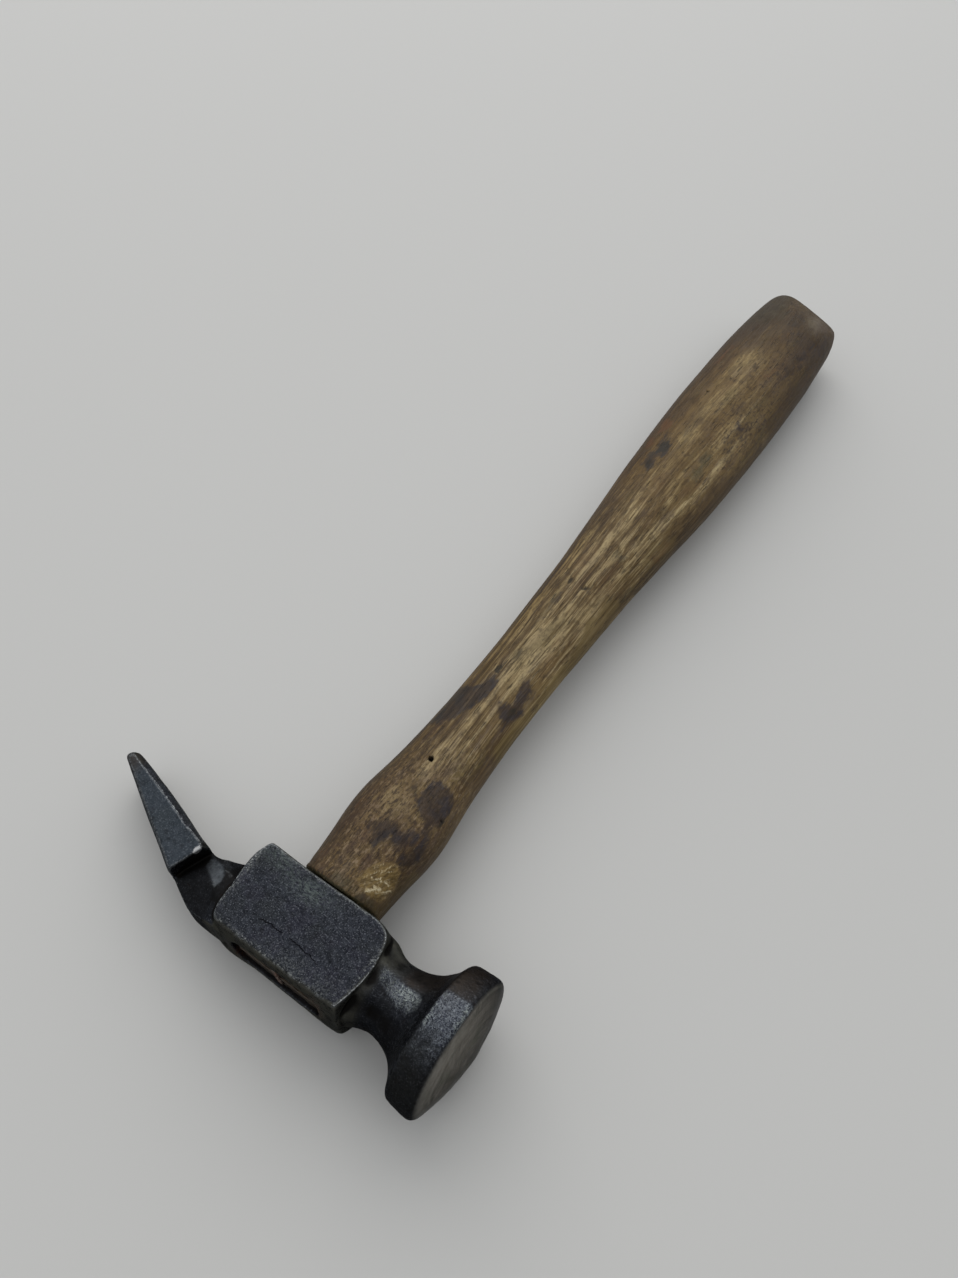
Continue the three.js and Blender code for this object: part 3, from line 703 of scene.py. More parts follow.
cut_a = tapered_box("cut_kerf", 27.6, 3.0, -10.9, 5.1, True, 0.35)
cut_b = tapered_box("cut_slot", 2.3, 9.2, -11.1, -1.1, False, 0.5)
for cutter in (cut_a, cut_b):
    mod = haft.modifiers.new("cut", "BOOLEAN")
    mod.operation, mod.solver, mod.object = "DIFFERENCE", "EXACT", cutter
bpy.context.view_layer.update()
dg = bpy.context.evaluated_depsgraph_get()
done = bpy.data.meshes.new_from_object(haft.evaluated_get(dg))
haft.modifiers.clear()
haft.data = done
for cutter in (cut_a, cut_b):
    bpy.data.objects.remove(cutter)

hp = verts_of(done) * 1000.0
done.vertices.foreach_set("co", to_row(hp).astype(np.float32).ravel())
done.polygons.foreach_set("use_smooth", np.ones(len(done.polygons), bool))
done.set_sharp_from_angle(angle=math.radians(48))
done.update()

# where the wood is stained, bleached, rubbed or dirty, and where light and shade are painted on
hx, hy, hz = hp.T
STAIN = [
    (1.1, [(-8.3, 69.4), (-5.3, 69.1), (-3.7, 71.7), (-2.5, 74.2), (-.7, 72.3), (-.4, 69.4), (-1.0, 65.9), (-1.9, 62.5), (-3.1, 60.3),
           (-4.3, 57.7), (-5.3, 55.5), (-8.6, 56.0), (-8.8, 62.2)]),
    (1.0, [(4.2, 75.9), (4.9, 78.0), (6.4, 77.2), (7.3, 74.4), (7.6, 70.9), (7.7, 67.9), (7.4, 64.8), (6.9, 63.2), (5.6, 64.5),
           (3.4, 65.3), (2.7, 67.8), (4.3, 68.9), (5.3, 70.3), (4.9, 73.4)]),
    (1.05, [(2.2, 39.3), (2.9, 41.8), (4.7, 42.7), (6.9, 42.8), (8.5, 41.4), (9.4, 38.8), (9.1, 36.4), (8.7, 33.4), (7.7, 32.3),
            (6.0, 33.3), (4.3, 35.3), (2.7, 37.2)]),
    (.85, [(7.2, 32.5), (8.6, 34.0), (10.0, 30.3), (10.6, 26.7), (9.6, 24.0), (8.0, 21.8), (6.9, 22.6), (6.6, 25.0), (8.1, 27.1),
           (8.1, 29.6)]),
    (.85, [(-2.7, 26.1), (-1.6, 27.5), (.6, 28.9), (2.9, 29.0), (3.9, 27.5), (3.2, 25.4), (2.9, 23.5), (1.0, 22.5), (-1.5, 23.7)]),
    (.8, [(3.9, 27.5), (5.6, 29.6), (7.4, 30.6), (8.7, 28.7), (7.5, 26.3), (6.0, 24.2), (4.1, 23.5), (2.9, 24.2)]),
    (.75, [(-8.8, 169.4), (-6.5, 168.7), (-3.6, 165.1), (-3.8, 161.9), (-4.7, 158.9), (-4.5, 155.4), (-5.4, 153.2), (-8.2, 155.4),
           (-9.0, 159.8), (-8.2, 163.4)]),
    (.5, [(-3.1, 105.3), (-1.6, 105.1), (-1.1, 100.5), (-.5, 95.7), (-1.7, 95.0), (-2.3, 100.7)]),
    (.45, [(-3.1, 238.6), (.1, 243), (3.1, 240), (5.3, 232.0), (9.6, 234.0), (11.4, 241.1), (14.0, 238.2), (14.0, 226.1),
           (12.0, 217), (9.0, 208), (7.0, 206), (7.2, 214), (8.4, 224.0), (4.6, 223.5), (.5, 229.7)]),
    (.55, [(7.3, 221.4), (8.2, 224.7), (10.6, 228.1), (12.1, 226.4), (11.2, 220.8), (8.9, 218.2)]),
    (.40, [(4.6, 176.2), (5.8, 181.8), (7.7, 188.5), (11.2, 193.6), (13.6, 193.9), (13.7, 186.2), (12.9, 176.3), (12.5, 169.9),
           (10.5, 169.5), (8.3, 171.7), (5.4, 172.6)]),
]
BROWN = [
    (.9, [(10.9, 160.8), (12.3, 166.8), (14.0, 178.2), (14.2, 186), (16, 190), (16, 150), (14.8, 140), (11.9, 139), (10.9, 143),
          (12.3, 153.4), (11.6, 157.4)]),
    (.9, [(7.8, 51.0), (8.4, 56.9), (9.4, 58.5), (11, 57), (11, 49), (9.0, 48.5)]),
    (.7, [(-9.8, 16.5), (-7.2, 18.8), (-5.1, 17.5), (-4.9, 21.0), (-6.6, 23.4), (-8.6, 24), (-10.5, 22)]),
    (.6, [(-10.6, 100.0), (-6.5, 101), (-5.0, 104.1), (-5.2, 108), (-7.0, 110), (-10.6, 111)]),
    (.8, [(9.6, 138.9), (9.8, 146.6), (11.4, 150.6), (14.2, 149.0), (14.0, 141.3), (11.0, 136.5)]),
    (.6, [(-16.5, 178.0), (-16.5, 214.0), (-10.5, 214.7), (-7.0, 211.3), (-6.3, 205.7), (-6.3, 198.1), (-5.9, 189.6), (-6.4, 183.2),
          (-8.0, 176.3), (-11, 172)]),
    (.75, [(13.2, 192), (14.4, 206), (14.2, 224), (13.6, 236), (16.5, 236), (16.5, 190)]),
    (.55, [(5.5, 196.3), (7.4, 202.0), (9.8, 205.4), (10.2, 199.9), (7.8, 193.6), (6.5, 185.6), (3.9, 184.0), (4.0, 188.8)]),
    (.5, [(-11.8, 125), (-11.8, 152), (-7.4, 149.9), (-7.1, 143.0), (-5.6, 133.8), (-5.6, 128.1), (-7.3, 124.5)]),
    (.7, [(-8.5, 12), (-9, 30), (-12, 34), (-13, 14)]),
]
BLACK = [
    (.95, [(-3.4, 74.8), (-3.7, 77.2), (-2.6, 78.3), (-1.6, 77.8), (-1.9, 76.1), (-2.1, 74.5)]),
    (.8, [(-3.4, 108.2), (-2.6, 110.2), (-1.3, 109.9), (-1.5, 108.0), (-2.4, 107.1)]),
    (.9, [(.8, 108.3), (2.6, 110.4), (3.4, 109.8), (2.2, 108.3), (1.1, 107.3)]),
    (.75, [(-5.8, 110.6), (-5.3, 113), (-4.8, 113.2), (-4.9, 110.8)]),
    (.7, [(5.3, 112.2), (5.6, 114.6), (6.3, 114.6), (6.2, 112.2)]),
    (.80, [(-7.0, 167.0), (-5.0, 167.0), (-4.1, 163.5), (-4.8, 160.8), (-6.6, 160.6), (-7.8, 163.4)]),
    (.70, [(-6.9, 158.0), (-5.6, 158.4), (-5.2, 154.8), (-6.4, 153.8), (-7.6, 156.0)]),
    (.40, [(9.8, 118.0), (9.5, 126.0), (10.6, 129.2), (12.5, 130), (12.5, 113), (9.7, 112.3)]),
    (.6, [(5.6, 70.6), (6.8, 72.0), (7.2, 68.0), (6.7, 65.6), (5.2, 66.6)]),
    (.8, [(8.9, 35.0), (9.6, 35.0), (9.7, 37.2), (8.9, 37.2)]),
    (.6, [(-2.6, 146.6), (-1.0, 148.6), (.4, 148.8), (-.4, 147.2)]),
    (.7, [(13.3, 244), (13.9, 249), (11, 252), (16, 252), (16, 236), (14.2, 236)]),
]
GREEN = [
    (.6, [(-3.3, 81.1), (-2.6, 83.1), (-.9, 83.7), (.8, 81.5), (.2, 79.4), (-2.1, 79.7)]),
    (.65, [(2.4, 121.4), (2.1, 124.8), (3.5, 125.5), (5.3, 123.1), (5.1, 119.9), (2.9, 120.0)]),
    (.75, [(4.1, 165.5), (5.3, 168.8), (7.9, 169.0), (8.0, 166.0), (7.7, 163.1), (9.0, 161.1), (7.4, 157.7), (5.3, 157.4),
           (5.4, 160.5), (5.4, 163.2)]),
    (.95, [(-8.2, 226.4), (-10.6, 228), (-15.5, 226), (-15.5, 252), (-5.5, 252), (-3.4, 241.5), (-1.5, 234.1), (-4.4, 231.0),
           (-5.5, 227.7)]),
    (.6, [(-1.9, 95.5), (-.7, 98), (-3.2, 104.6), (-4.3, 103)]),
    (.8, [(-1.2, 10.0), (-1.0, 13.6), (5.0, 13.4), (9.6, 12.2), (9.6, 10.0)]),
    (.5, [(-2.4, 35.5), (-2.6, 38.2), (2.2, 39.0), (2.0, 36.4)]),
    (.5, [(-7.8, 52.0), (-7.4, 55.8), (-5.4, 55.2), (-6.4, 50.6)]),
    (.45, [(12.6, 208), (12.4, 219), (12.4, 228), (13.5, 230), (14.2, 214), (13.9, 206)]),
]
PALE = [
    (.9, [(-1.6, 50.0), (-.7, 57.0), (-.8, 62.8), (0, 67.3), (.4, 69.6), (1.4, 66.4), (1.1, 62.9), (.6, 57.8), (.3, 51.8)]),
    (.5, [(-5.7, 26.0), (-5.4, 30.6), (-4.4, 34.4), (-2.4, 36.7), (1.4, 35.1), (3.6, 34.0), (3.2, 29.9), (.2, 29.6), (-1.8, 28.8),
          (-3.3, 26.4)]),
    (.6, [(-1.1, 40.2), (-1.0, 44.4), (-.1, 48.4), (.2, 53.5), (2.8, 55.6), (3.6, 51.4), (3.3, 47.4), (2.1, 43.7), (1.1, 39.9)]),
    (.9, [(-.9, 75.5), (-.1, 78.9), (1.1, 77.6), (1.5, 73.8), (1.4, 70.5), (.3, 70.3), (-.3, 72.6)]),
    (.95, [(.6, 96.5), (.1, 103.5), (.3, 107.4), (1.5, 106.2), (1.9, 101.3), (2.2, 96.5)]),
    (.9, [(-.6, 84.1), (-.3, 93.3), (.3, 96.7), (1.2, 94.4), (1.8, 88.4), (1.5, 83.7)]),
    (.8, [(3.3, 99.0), (4.3, 107.9), (5.5, 111.8), (6.1, 109.8), (5.6, 104.9), (4.7, 97.9), (4.7, 92.0), (3.2, 92.9)]),
    (.75, [(-3.8, 168.0), (-3.9, 173.1), (-2.7, 175.8), (-.4, 174.9), (.8, 171.8), (-.1, 167.4), (-2.3, 167.0)]),
    (.55, [(-4.3, 180.5), (-2.9, 192.0), (-1.7, 199.3), (.4, 200.5), (1.9, 192.1), (.3, 183.1), (-.6, 177.7), (-2.4, 177.8)]),
    (.6, [(-5.9, 211.0), (-4.0, 217.1), (-1.3, 217.9), (.8, 213.4), (.9, 207.0), (1.2, 200.5), (.0, 196.1), (-3.2, 200.7)]),
    (.4, [(-4.9, 222.2), (-4.2, 227.4), (-1.9, 231.6), (.8, 229.2), (.2, 224.5), (-2.0, 220.8)]),
    (.5, [(-4.5, 112), (-1.5, 112), (1.4, 118), (1.6, 128), (1.4, 140), (-1.6, 140), (-2.6, 128), (-5.0, 118)]),
    (.45, [(4.4, 126), (6.2, 127), (8.4, 138), (9.0, 152), (6.2, 150), (5.0, 138)]),
    (.5, [(8.9, 164.5), (8.6, 169.3), (9.8, 170.5), (10.9, 168.1), (10.2, 164.4)]),
    (.35, [(3.4, 60), (4.8, 60), (4.4, 50), (3.6, 46)]),
]
OCHRE = [
    (1.0, [(8.1, 59), (8.3, 68), (8.5, 78), (8.3, 90), (8.8, 99), (12, 99), (12, 57), (9.4, 56)]),
    (.85, [(7.4, 101.9), (7.4, 110.8), (9.1, 113.6), (10.3, 113.1), (11.4, 106.2), (11.4, 97.9), (9.0, 96.5), (7.9, 99.3)]),
    (.75, [(-6.8, 73.7), (-6.7, 75.9), (-6.0, 78.5), (-4.8, 77.6), (-4.3, 75.4), (-4.9, 73.4), (-4.5, 70.4), (-5.7, 70.1)]),
    (.7, [(-7.1, 83.1), (-5.4, 83.7), (-4.3, 81.9), (-5.4, 81.1)]),
    (.8, [(3.2, 14.2), (4.0, 18.6), (6.8, 21.5), (9.0, 20.9), (9.8, 17.8), (9.2, 13.8), (7.1, 12.6), (4.5, 13.2)]),
    (.9, [(8.1, 11.6), (9.8, 16.0), (10.0, 21.6), (10.6, 24.6), (13, 24), (13, 10), (9.5, 10)]),
    (.55, [(9.0, 126.6), (9.2, 134.3), (10.6, 139.8), (14.0, 142.8), (13.6, 132.2), (11.5, 129.1), (9.9, 126.0)]),
    (.45, [(-10, 78), (-10.4, 98), (-7.2, 99), (-6.2, 88), (-7.4, 78)]),
]
REDDISH = [
    (1.0, [(-12.8, 174.8), (-11.7, 176.8), (-9.2, 175.8), (-8.0, 172.1), (-9.2, 169.8), (-11, 170)]),
    (.8, [(-12.0, 167.7), (-10.8, 168.6), (-9.0, 165.0), (-9.3, 162.0), (-12, 162.3)]),
    (.6, [(4.2, 205), (5.6, 212), (6.9, 212), (6.6, 205)]),
    (.7, [(-11.5, 205), (-11, 217), (-9.4, 217), (-9.6, 205)]),
    (.6, [(-9.8, 15.0), (-7.6, 18.2), (-6.4, 17.0), (-7.4, 14.6)]),
    (.5, [(9.4, 128), (9.8, 137), (11.6, 139), (12.4, 131)]),
    (.5, [(-8.4, 27), (-8.6, 35), (-7.2, 35), (-6.9, 27)]),
]
FADED = [(1.0, [(3.7, 236.4), (3.2, 242.1), (3.8, 247.5), (6.6, 247.2), (8.9, 240.6), (8.4, 236.0), (6.3, 234.3)])]
GLOSS = [(1.0, [(3.0, 14.0), (3.8, 18.6), (5.2, 20.6), (7.8, 22.2), (9.1, 21.4), (9.8, 17.8), (9.4, 13.6), (7.1, 12.8), (4.3, 13.2)])]
STROKES = [(4.6, 18.4, 5.6, 20.2, .13, .8), (6.2, 18.1, 7.3, 21.5, .13, .8), (3.9, 14.6, 4.6, 16.3, .12, .6), (5.3, 16.2, 7.8, 17.5, .15, .9),
           (6.0, 13.3, 7.8, 15.9, .30, .9), (8.6, 15.5, 9.4, 17.2, .18, .8), (1.9, 14.4, 2.1, 17.1, .10, .4), (6.6, 15.3, 8.2, 15.3, .24, .9),
           (4.9, 14.4, 6.7, 13.6, .13, .7), (7.9, 17.4, 8.6, 17.6, .16, .8), (-5.9, 26.3, -5.7, 28.4, .10, .3), (-4.6, 28.0, -4.0, 30.6, .10, .3),
           (5.0, 17.2, 6.0, 18.8, .10, .7), (7.0, 19.2, 8.2, 20.8, .11, .6), (-2.2, 18.2, -1.2, 20.0, .10, .3), (.6, 17.4, 1.0, 19.2, .10, .3),
           (5.4, 15.4, 6.8, 17.6, .10, .7), (7.6, 14.2, 8.7, 16.0, .14, .8), (4.2, 16.4, 5.4, 17.0, .10, .6), (6.9, 16.0, 8.4, 18.6, .10, .7)]

warp = np.stack([hx / 1.9, hy / 3.2, hz / 1.9], 1)
wx = hx + 0.50 * vnoise(warp, 91) + 0.22 * vnoise(warp * 2.6, 93)
wy = hy + 1.0 * vnoise(warp + 40.0, 92) + 0.45 * vnoise(warp * 2.6 + 40.0, 94)
upper = sstep(-5.0, -0.5, hz)


def patches(table, soft=0.55, ragged=True):
    """Soft-edged patches inside outlines given in plan, softer along the grain than across it."""
    out = np.zeros(len(hp))
    for k, pts in table:
        q = np.array(pts, float)
        sel = np.nonzero((hx > q[:, 0].min() - 2) & (hx < q[:, 0].max() + 2) & (hy > q[:, 1].min() - 4) & (hy < q[:, 1].max() + 4))[0]
        a, b = (wx, wy) if ragged else (hx, hy)
        d = poly_sdf(a[sel], b[sel] * 0.5, q * (1.0, 0.5))
        out[sel] = np.maximum(out[sel], k * sstep(soft, -soft, d) * upper[sel])
    return out


def strokes_at(table):
    out = np.zeros(len(hp))
    for x0, y0, x1, y1, r_, k in table:
        ex, ey = x1 - x0, y1 - y0
        t = np.clip(((hx - x0) * ex + (hy - y0) * ey) / (ex * ex + ey * ey), 0, 1)
        d = np.hypot(hx - x0 - ex * t, hy - y0 - ey * t)
        out = np.maximum(out, k * sstep(r_ + 0.17, r_ - 0.12, d) * upper)
    return out


def spots_below(seed, count, kmax):
    r = np.random.default_rng(seed)
    out = np.zeros(len(hp))
    for _ in range(count):
        px, py = r.uniform(-10, 10), r.uniform(18, 240)
        rx, ry, k = r.uniform(1.2, 3.2), r.uniform(2, 8), r.uniform(.4, 1) * kmax
        out = np.maximum(out, k * np.exp(-(((hx - px) / rx) ** 2 + ((hy - py) / ry) ** 2) * 0.8) * sstep(0.5, -3.0, hz))
    return out


aw = np.interp(hy, HALF_W[:, 0], HALF_W[:, 1])
across = np.clip((hx - np.interp(hy, SHIFT[:, 0], SHIFT[:, 1])) / aw, -1.1, 1.1)
hole_mask = np.zeros(len(hp))
for px, py, r_ in ((-1.2, 46.4, .56), (9.3, 36.0, .26), (-6.0, 190.5, .30)):
    hole_mask = np.maximum(hole_mask, sstep(1.5, 0.95, np.hypot(hx - px, hy - py) / r_) * (hz > 0))
endgrain = np.clip(sstep(249.9, 250.3, hy) + sstep(-9.4, -9.6, hy), 0, 1)
left, right = sstep(-0.10, -0.80, across), sstep(0.10, 0.80, across)
tone = -0.22 * left * (sstep(62, 50, hy) + sstep(148, 168, hy)) + 0.14 * right * sstep(60, 70, hy) * sstep(112, 98, hy)
tone = tone - 0.14 * right * sstep(188, 205, hy) - 0.34 * sstep(206, 238, hy) - 0.10 * sstep(196, 216, hy)
attrs = {
    "stain": np.maximum(patches(STAIN, 1.25), spots_below(5, 12, .9)),
    "brownd": np.maximum(patches(BROWN, 1.4), spots_below(10, 8, .8)),
    "blk": np.maximum(patches(BLACK, 0.6), spots_below(6, 12, .8)),
    "green": np.maximum(np.maximum(patches(GREEN[:3] + GREEN[4:], 1.2), patches(GREEN[3:4], 3.2) * 0.8), spots_below(7, 6, .6)),
    "pale": np.maximum(patches(PALE, 1.0), spots_below(8, 12, .6)),
    "ochre": np.maximum(patches(OCHRE, 0.9), spots_below(9, 6, .6)),
    "reddish": patches(REDDISH, 0.9),
    "faded": patches(FADED, 2.6),
    "midband": sstep(76, 88, hy) * sstep(136, 122, hy),
    "buttm": sstep(196, 226, hy),
    "gloss": patches(GLOSS, 0.6, False),
    "stroke": strokes_at(STROKES),
    "hole": hole_mask,
    # rim: where painted shade darkens the flanks
    "rim": sstep(0.50, 1.0, np.abs(across)),
    "tone": tone,
    "streaky": np.clip(0.34 + 0.62 * sstep(38, 56, hy) * sstep(168, 122, hy) + 0.12 * sstep(76, 88, hy) * sstep(122, 108, hy), 0, 1.3),
    "neckdirt": sstep(12.0, 11.1, hy + (hz / 9.4) ** 2),
    "endg": endgrain,
    "headdark": sstep(44, 16, hy),
    "nearh": sstep(68, 30, hy + 7.0 * fnoise(np.stack([hx / 5.0, hy / 14.0, hz / 5.0], 1), 97, 2)) * (1 - 0.55 * sstep(0.55, 1.0, np.abs(across))),
    # painted shade on the left flank and painted light on the right flank, varying along the haft
    "left_flank_shade": left * np.interp(hy, [11, 30, 45, 62, 100, 132, 146, 158, 200, 222, 250], [.5, .7, .9, 1.1, 1.1, .9, .55, .95, .6, .95, .9]),
    "right_flank_light": right * np.interp(hy, [11, 24, 38, 50, 84, 92, 130, 142, 160, 180, 196, 225], [.2, .4, .9, 1.0, 1.0, .1, .1, .5, 1.0, .75, .3, .15]),
    # tongue: where painted shade darkens the wood inside the eye
    "tongue": sstep(10.4, 9.8, hy),
    "buttd": sstep(204, 238, hy) * (1 - right),
    "warm": sstep(128, 160, hy) * (0.36 * (1 - right) + 0.64 * left),
    "speck": sstep(150, 176, hy) * sstep(-0.35, 0.45, across) * sstep(249, 240, hy) + 0.45 * sstep(60, 40, hy) * sstep(0.0, 0.6, across),
}
for name, values in attrs.items():
    add_attr(done, name, values)

# ------------------------------------------------------------------ wedges
def grid_wedge(name, lx, lz, y0, y1, thin_z, ratio, n, crush, seed, slot=None):
    """Tapered slab with dense faces: a driven, slightly crushed head at y0, cut sides."""
    nx_, ny_, nz_ = n
    us, vs, ws = np.linspace(-1, 1, nx_), np.linspace(0, 1, ny_), np.linspace(-1, 1, nz_)
    verts, index = [], {}

    def vert(i, j, k):
        key = (i, j, k)
        if key not in index:
            index[key] = len(verts)
            verts.append((us[i], vs[j], ws[k]))
        return index[key]

    faces = []
    for i in range(nx_ - 1):
        for j in range(ny_ - 1):
            for k, flip in ((0, True), (nz_ - 1, False)):
                q = [vert(i, j, k), vert(i + 1, j, k), vert(i + 1, j + 1, k), vert(i, j + 1, k)]
                faces.append(q[::-1] if flip else q)
    for i in range(nx_ - 1):
        for k in range(nz_ - 1):
            for j, flip in ((0, False), (ny_ - 1, True)):
                q = [vert(i, j, k), vert(i + 1, j, k), vert(i + 1, j, k + 1), vert(i, j, k + 1)]
                faces.append(q[::-1] if flip else q)
    for j in range(ny_ - 1):
        for k in range(nz_ - 1):
            for i, flip in ((0, False), (nx_ - 1, True)):
                q = [vert(i, j, k), vert(i, j, k + 1), vert(i, j + 1, k + 1), vert(i, j + 1, k)]
                faces.append(q[::-1] if flip else q)
    v = np.array(verts)
    u, t, w = v.T
    k = 1 + (ratio - 1) * t
    # rounded corners of the section
    e = 9.0
    m = np.maximum(np.abs(u), np.abs(w)) / np.maximum((np.abs(u) ** e + np.abs(w) ** e) ** (1 / e), 1e-9)
    u, w = u * m, w * m
    px = u * lx / 2 * (1 if thin_z else k)
    pz = w * lz / 2 * (k if thin_z else 1)
    py = y0 + (y1 - y0) * t
    head_end = sstep(0.10, 0.0, t)
    q = np.stack([px, py, pz], 1)
    py = py + head_end * (crush * (0.5 + 0.5 * fnoise(q / 1.1, seed, 3)) + 0.25 * crush * (u ** 4 + w ** 4))
    burr = 1 + 0.0 * head_end
    px, pz = px * burr, pz * burr
    q = np.stack([px, py, pz], 1)
    jig = 0.035 * fnoise(q / 0.8, seed + 3, 2)
    px = px + jig * np.sign(u) * (np.abs(u) > 0.97)
    pz = pz + jig * np.sign(w) * (np.abs(w) > 0.97)
    return np.stack([px, py, pz], 1), np.array(faces)


wv, wf = grid_wedge("wedge", 21.5, 2.36, -10.16, 3.8, True, 0.30, (120, 44, 15), 0.30, 71)
wedge_raw = add_object("eye_wedge", new_mesh("eye_wedge", wv / 1000.0, wf))
cut_b = tapered_box("cut_slot", 2.26, 9.16, -11.1, -1.12, False, 0.5)
mod = wedge_raw.modifiers.new("cut", "BOOLEAN")
mod.operation, mod.solver, mod.object = "DIFFERENCE", "EXACT", cut_b
bpy.context.view_layer.update()
dg = bpy.context.evaluated_depsgraph_get()
wme = bpy.data.meshes.new_from_object(wedge_raw.evaluated_get(dg))
wedge_raw.modifiers.clear()
wedge_raw.data = wme
bpy.data.objects.remove(cut_b)
wp = verts_of(wme) * 1000.0
wme.vertices.foreach_set("co", to_row(wp).astype(np.float32).ravel())
wme.polygons.foreach_set("use_smooth", np.ones(len(wme.polygons), bool))
wme.set_sharp_from_angle(angle=math.radians(40))
wme.update()
add_attr(wme, "endg", sstep(-9.5, -9.75, wp[:, 1]))

sv, sf = grid_wedge("steel", 1.7, 8.6, -10.44, -1.8, False, 0.45, (17, 50, 66), 0.34, 81)
steel_me = new_mesh("cross_wedge", to_row(sv), sf)
steel_me.set_sharp_from_angle(angle=math.radians(40))
add_attr(steel_me, "struck", sstep(-9.7, -10.2, sv[:, 1]))
cross = add_object("cross_wedge", steel_me)


# ------------------------------------------------------------------ materials
ROW_EULER = Matrix([list(r) for r in ROW_R]).to_euler("XYZ")


class Mat:
    """A small builder for node materials. Positions are the object's own millimetres."""

    def __init__(self, name):
        self.mat = bpy.data.materials.new(name)
        self.mat.use_nodes = True
        self.t = self.mat.node_tree
        self.t.nodes.clear()
        self.out = self.t.nodes.new("ShaderNodeOutputMaterial")
        self.bsdf = self.t.nodes.new("ShaderNodeBsdfPrincipled")
        self.t.links.new(self.bsdf.outputs[0], self.out.inputs[0])
        tc = self.t.nodes.new("ShaderNodeTexCoord")
        mp = self.t.nodes.new("ShaderNodeMapping")
        mp.vector_type = "TEXTURE"
        mp.inputs["Location"].default_value = tuple(ROW_T / 1000.0)
        mp.inputs["Rotation"].default_value = tuple(ROW_EULER)
        mp.inputs["Scale"].default_value = (0.001, 0.001, 0.001)
        self.link(tc.outputs["Object"], mp.inputs["Vector"])
        self.mm = mp.outputs["Vector"]

    def link(self, a, b):
        self.t.links.new(a, b)

    def put(self, value, socket):
        if isinstance(value, bpy.types.NodeSocket):
            self.link(value, socket)
        elif value is not None:
            socket.default_value = value

    def math(self, op, a, b=None, c=None, clamp=False):
        n = self.t.nodes.new("ShaderNodeMath")
        n.operation, n.use_clamp = op, clamp
        for v, s in zip((a, b, c), n.inputs):
            self.put(v, s)
        return n.outputs[0]

    def add(self, a, b, clamp=False):
        return self.math("ADD", a, b, clamp=clamp)

    def sub(self, a, b, clamp=False):
        return self.math("SUBTRACT", a, b, clamp=clamp)

    def mul(self, a, b, clamp=False):
        return self.math("MULTIPLY", a, b, clamp=clamp)

    def step(self, v, lo, hi, a=0.0, b=1.0):
        n = self.t.nodes.new("ShaderNodeMapRange")
        n.interpolation_type = "SMOOTHSTEP"
        self.put(v, n.inputs[0])
        for s, q in zip(n.inputs[1:5], (lo, hi, a, b)):
            self.put(q, s)
        return n.outputs[0]

    def attr(self, name):
        n = self.t.nodes.new("ShaderNodeAttribute")
        n.attribute_name = name
        return n.outputs["Fac"]

    def scaled(self, v, s, offset=(0, 0, 0)):
        n = self.t.nodes.new("ShaderNodeMapping")
        self.link(v, n.inputs["Vector"])
        n.inputs["Scale"].default_value = s
        n.inputs["Location"].default_value = offset
        return n.outputs[0]

    def noise(self, v, scale=1.0, detail=3.0, rough=0.55, dist=0.0, lac=2.0, color=False):
        n = self.t.nodes.new("ShaderNodeTexNoise")
        self.link(v, n.inputs["Vector"])
        n.inputs["Scale"].default_value = scale
        n.inputs["Detail"].default_value = detail
        n.inputs["Roughness"].default_value = rough
        n.inputs["Distortion"].default_value = dist
        n.inputs["Lacunarity"].default_value = lac
        return n.outputs["Color" if color else "Fac"]

    def voronoi(self, v, scale=1.0, feature="F1", rand=1.0, out="Distance"):
        n = self.t.nodes.new("ShaderNodeTexVoronoi")
        n.feature = feature
        self.link(v, n.inputs["Vector"])
        n.inputs["Scale"].default_value = scale
        n.inputs["Randomness"].default_value = rand
        return n.outputs[out]

    def mix(self, fac, a, b, mode="MIX"):
        n = self.t.nodes.new("ShaderNodeMix")
        n.data_type, n.blend_type = "RGBA", mode
        self.put(fac, n.inputs[0])
        for v, s in ((a, n.inputs[6]), (b, n.inputs[7])):
            if isinstance(v, tuple) and len(v) == 3:
                v = (*v, 1.0)
            self.put(v, s)
        return n.outputs[2]

    def lerp(self, fac, a, b):
        n = self.t.nodes.new("ShaderNodeMix")
        n.data_type = "FLOAT"
        self.put(fac, n.inputs[0])
        self.put(a, n.inputs[2])
        self.put(b, n.inputs[3])
        return n.outputs[0]

    def xyz(self, v):
        n = self.t.nodes.new("ShaderNodeSeparateXYZ")
        self.link(v, n.inputs[0])
        return n.outputs

    def turned(self, v, degrees):
        """Position turned about the vertical, for strokes lying across the grain."""
        n = self.t.nodes.new("ShaderNodeMapping")
        self.link(v, n.inputs["Vector"])
        n.inputs["Rotation"].default_value = (0.0, 0.0, math.radians(degrees))
        return n.outputs[0]

    def join(self, x, y, z):
        n = self.t.nodes.new("ShaderNodeCombineXYZ")
        for v, s in zip((x, y, z), n.inputs):
            self.put(v, s)
        return n.outputs[0]

    def bump(self, height, mm, strength=1.0, normal=None):
        n = self.t.nodes.new("ShaderNodeBump")
        n.inputs["Strength"].default_value = strength
        n.inputs["Distance"].default_value = mm / 1000.0
        self.link(height, n.inputs["Height"])
        if normal is not None:
            self.link(normal, n.inputs["Normal"])
        return n.outputs[0]


